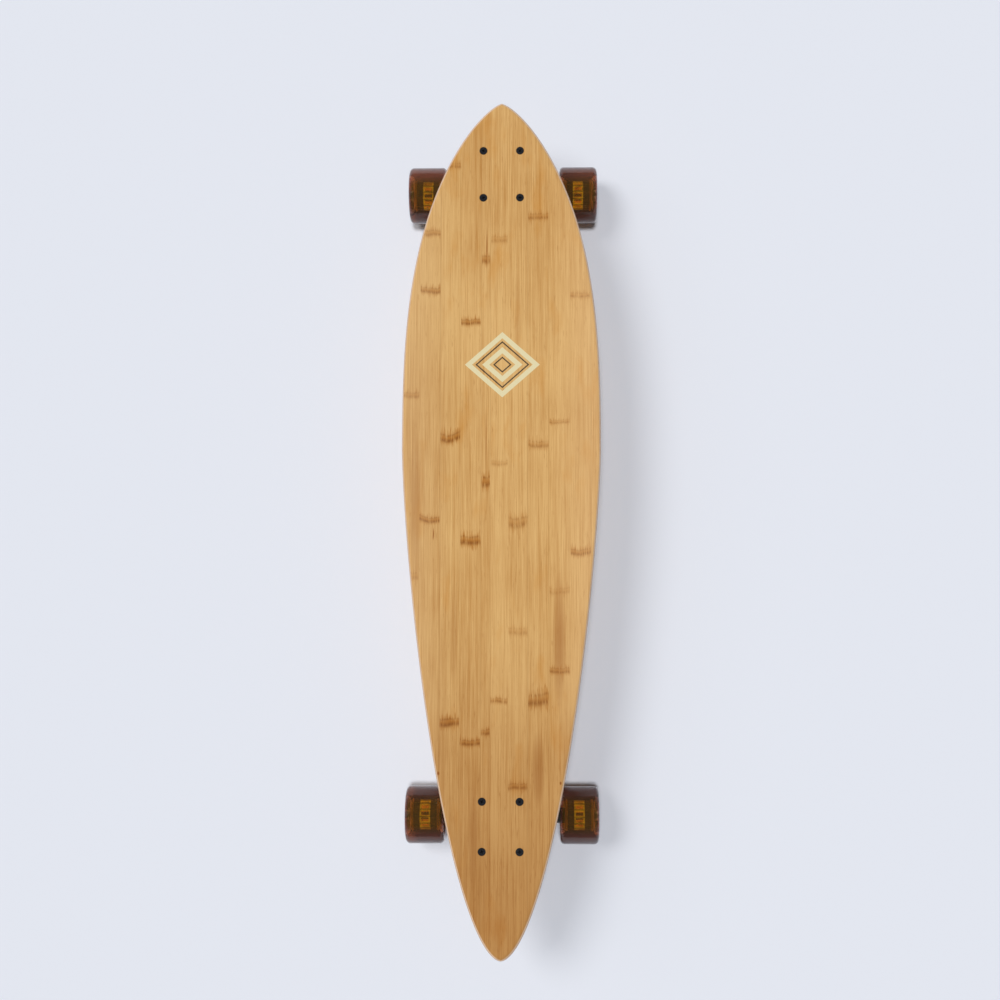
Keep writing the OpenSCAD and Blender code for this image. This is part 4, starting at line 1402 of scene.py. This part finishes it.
def makeUrethane():
    # cast urethane: clear where one looks straight in, with a painted haze towards its edges and a painted
    # reflection of the sky at its rims, scuffed where it rolls
    spec = urethaneLook
    material, tree, shader, coords = newMaterial("wheelUrethane", transmissionWeight=0.92, ior=1.08,
                                                 specularIorLevel=0.5, coatWeight=0.8, coatRoughness=0.1)
    vary = useGroup(tree, mottle, Coords=coords, SlowScale=38.0, FineScale=900.0)
    away = wheelAway(tree, coords)[1]
    outer = calc(tree, "SUBTRACT", away, (wheelSize["rim"] - spec["rolled"]) * mm)
    rolled = calc(tree, "MULTIPLY", outer, 1500.0, clamp=True)
    # colours by viewing angle: painted haze towards the edges, painted sky reflection at the rims
    facing = addNode(tree, "ShaderNodeLayerWeight", {"Blend": 0.5}).outputs["Facing"]
    hazy = calc(tree, "MULTIPLY_ADD", facing, 5.0, -0.45, clamp=True)
    paintedRimReflection = calc(tree, "MULTIPLY_ADD", facing, 2.5, -1.0, clamp=True)
    color = blendColors(tree, hazy, spec["clear"], spec["hazy"])
    color = blendColors(tree, paintedRimReflection, color, spec["rim"])
    color = blendColors(tree, calc(tree, "MULTIPLY", vary["Slow"], 0.3), color, spec["stain"])
    dulled = calc(tree, "MULTIPLY", rolled, calc(tree, "MULTIPLY", vary["Fine"], 0.2))
    scuffs = calc(tree, "MULTIPLY_ADD", vary["Slow"], 0.10, calc(tree, "ADD", dulled, 0.03))
    feed(tree, shader, color, scuffs, vary["Fine"], 0.12, 0.00008)
    absorb = addNode(tree, "ShaderNodeVolumeAbsorption",
                     {"Color": (*spec["absorb"], 1), "Density": spec["density"]})
    tree.links.new(absorb.outputs[0], tree.nodes["Material Output"].inputs["Volume"])
    return material


def makeCorePlastic():
    # clear amber plastic: a painted lit colour in the windows and painted shade on the rest, with emission
    # painted on as light between the bearings and along the flanges
    spec = coreLook
    material, tree, shader, coords = newMaterial("corePlastic", specularIorLevel=0.5,
                                                 emissionStrength=spec["paintedGlowStrength"])
    spanwise, away = wheelAway(tree, coords)
    middle = jointPlace("front_right_wheel_spin").x
    across = calc(tree, "ABSOLUTE", calc(tree, "SUBTRACT", calc(tree, "ABSOLUTE", spanwise), middle))
    seat = (wheelSize["bearingMiddle"] - wheelSize["bearingHalf"]) * mm
    inner = (wheelSize["coreHalf"] - wheelSize["flangeWidth"]) * mm
    window = calc(tree, "MULTIPLY", calc(tree, "SUBTRACT", seat + 0.0013, across), 1500.0, clamp=True)
    flange = calc(tree, "MULTIPLY", calc(tree, "SUBTRACT", across, inner - 0.0004), 2500.0, clamp=True)
    raised = calc(tree, "SUBTRACT", away, (wheelSize["core"] + 0.5) * mm)
    onRib = calc(tree, "MULTIPLY", raised, 2500.0, clamp=True)
    vary = useGroup(tree, mottle, Coords=coords, SlowScale=150.0, FineScale=1000.0)
    # the window colour is painted light, and the colour round it is painted shade
    glow = blendColors(tree, vary["Slow"], *spec["glow"])
    glow = blendColors(tree, calc(tree, "MULTIPLY", onRib, 0.6), glow, spec["rib"])
    color = blendColors(tree, window, spec["shade"], glow)
    color = blendColors(tree, flange, color, spec["flange"])
    # emission painted on as light, weaker outside the windows and broken up unevenly
    light = blendColors(tree, window, spec["paintedGlowOutsideWindows"], spec["paintedGlowInWindows"])
    light = blendColors(tree, calc(tree, "MULTIPLY", onRib, 0.5), light, spec["paintedGlowOnRibs"])
    light = blendColors(tree, flange, light, spec["paintedGlowOnFlanges"])
    uneven = calc(tree, "MULTIPLY_ADD", vary["Slow"], 2.6, -0.55, clamp=True)
    tree.links.new(blendColors(tree, uneven, (0, 0, 0), light), shader.inputs["Emission Color"])
    feed(tree, shader, color, calc(tree, "MULTIPLY_ADD", vary["Slow"], 0.2, 0.24), vary["Fine"], 0.1, 0.0001)
    return material


def makeWheels():
    tyre = latheProfile("tyre", tyreProfile(), 144)
    smoothByAngle(tyre, 32)
    core = makeCore()
    shields = makeShields()
    urethane, corePlastic = makeUrethane(), makeCorePlastic()
    shared = (
        (tyre, "_urethane", "wheel_urethane", urethane, "_tyre"),
        (core, "_hub", "core_plastic", corePlastic, "_core"),
        (shields, "_seals", "shield_rubber", sealRubber, "_bearing_shields"))
    for truck in truckNames:
        for side in sideNames:
            wheel = truck + "_" + side
            place = Matrix.Translation(jointPlace(wheel + "_wheel_spin"))
            for source, made, slot, material, node in shared:
                piece = copyOf(source, wheel + made, place)
                finishPiece(piece, wheel + "_wheel", material, wheel + node)
            ownMaterial(nodes[wheel + "_bearing_outer_rings"], bearingSteel)
            ownMaterial(nodes[wheel + "_bearing_balls"], bearingSteel)
    for piece in (tyre, core, shields):
        removePiece(piece)
    print("wheels: four, each with its core and seals")


makeWheels()
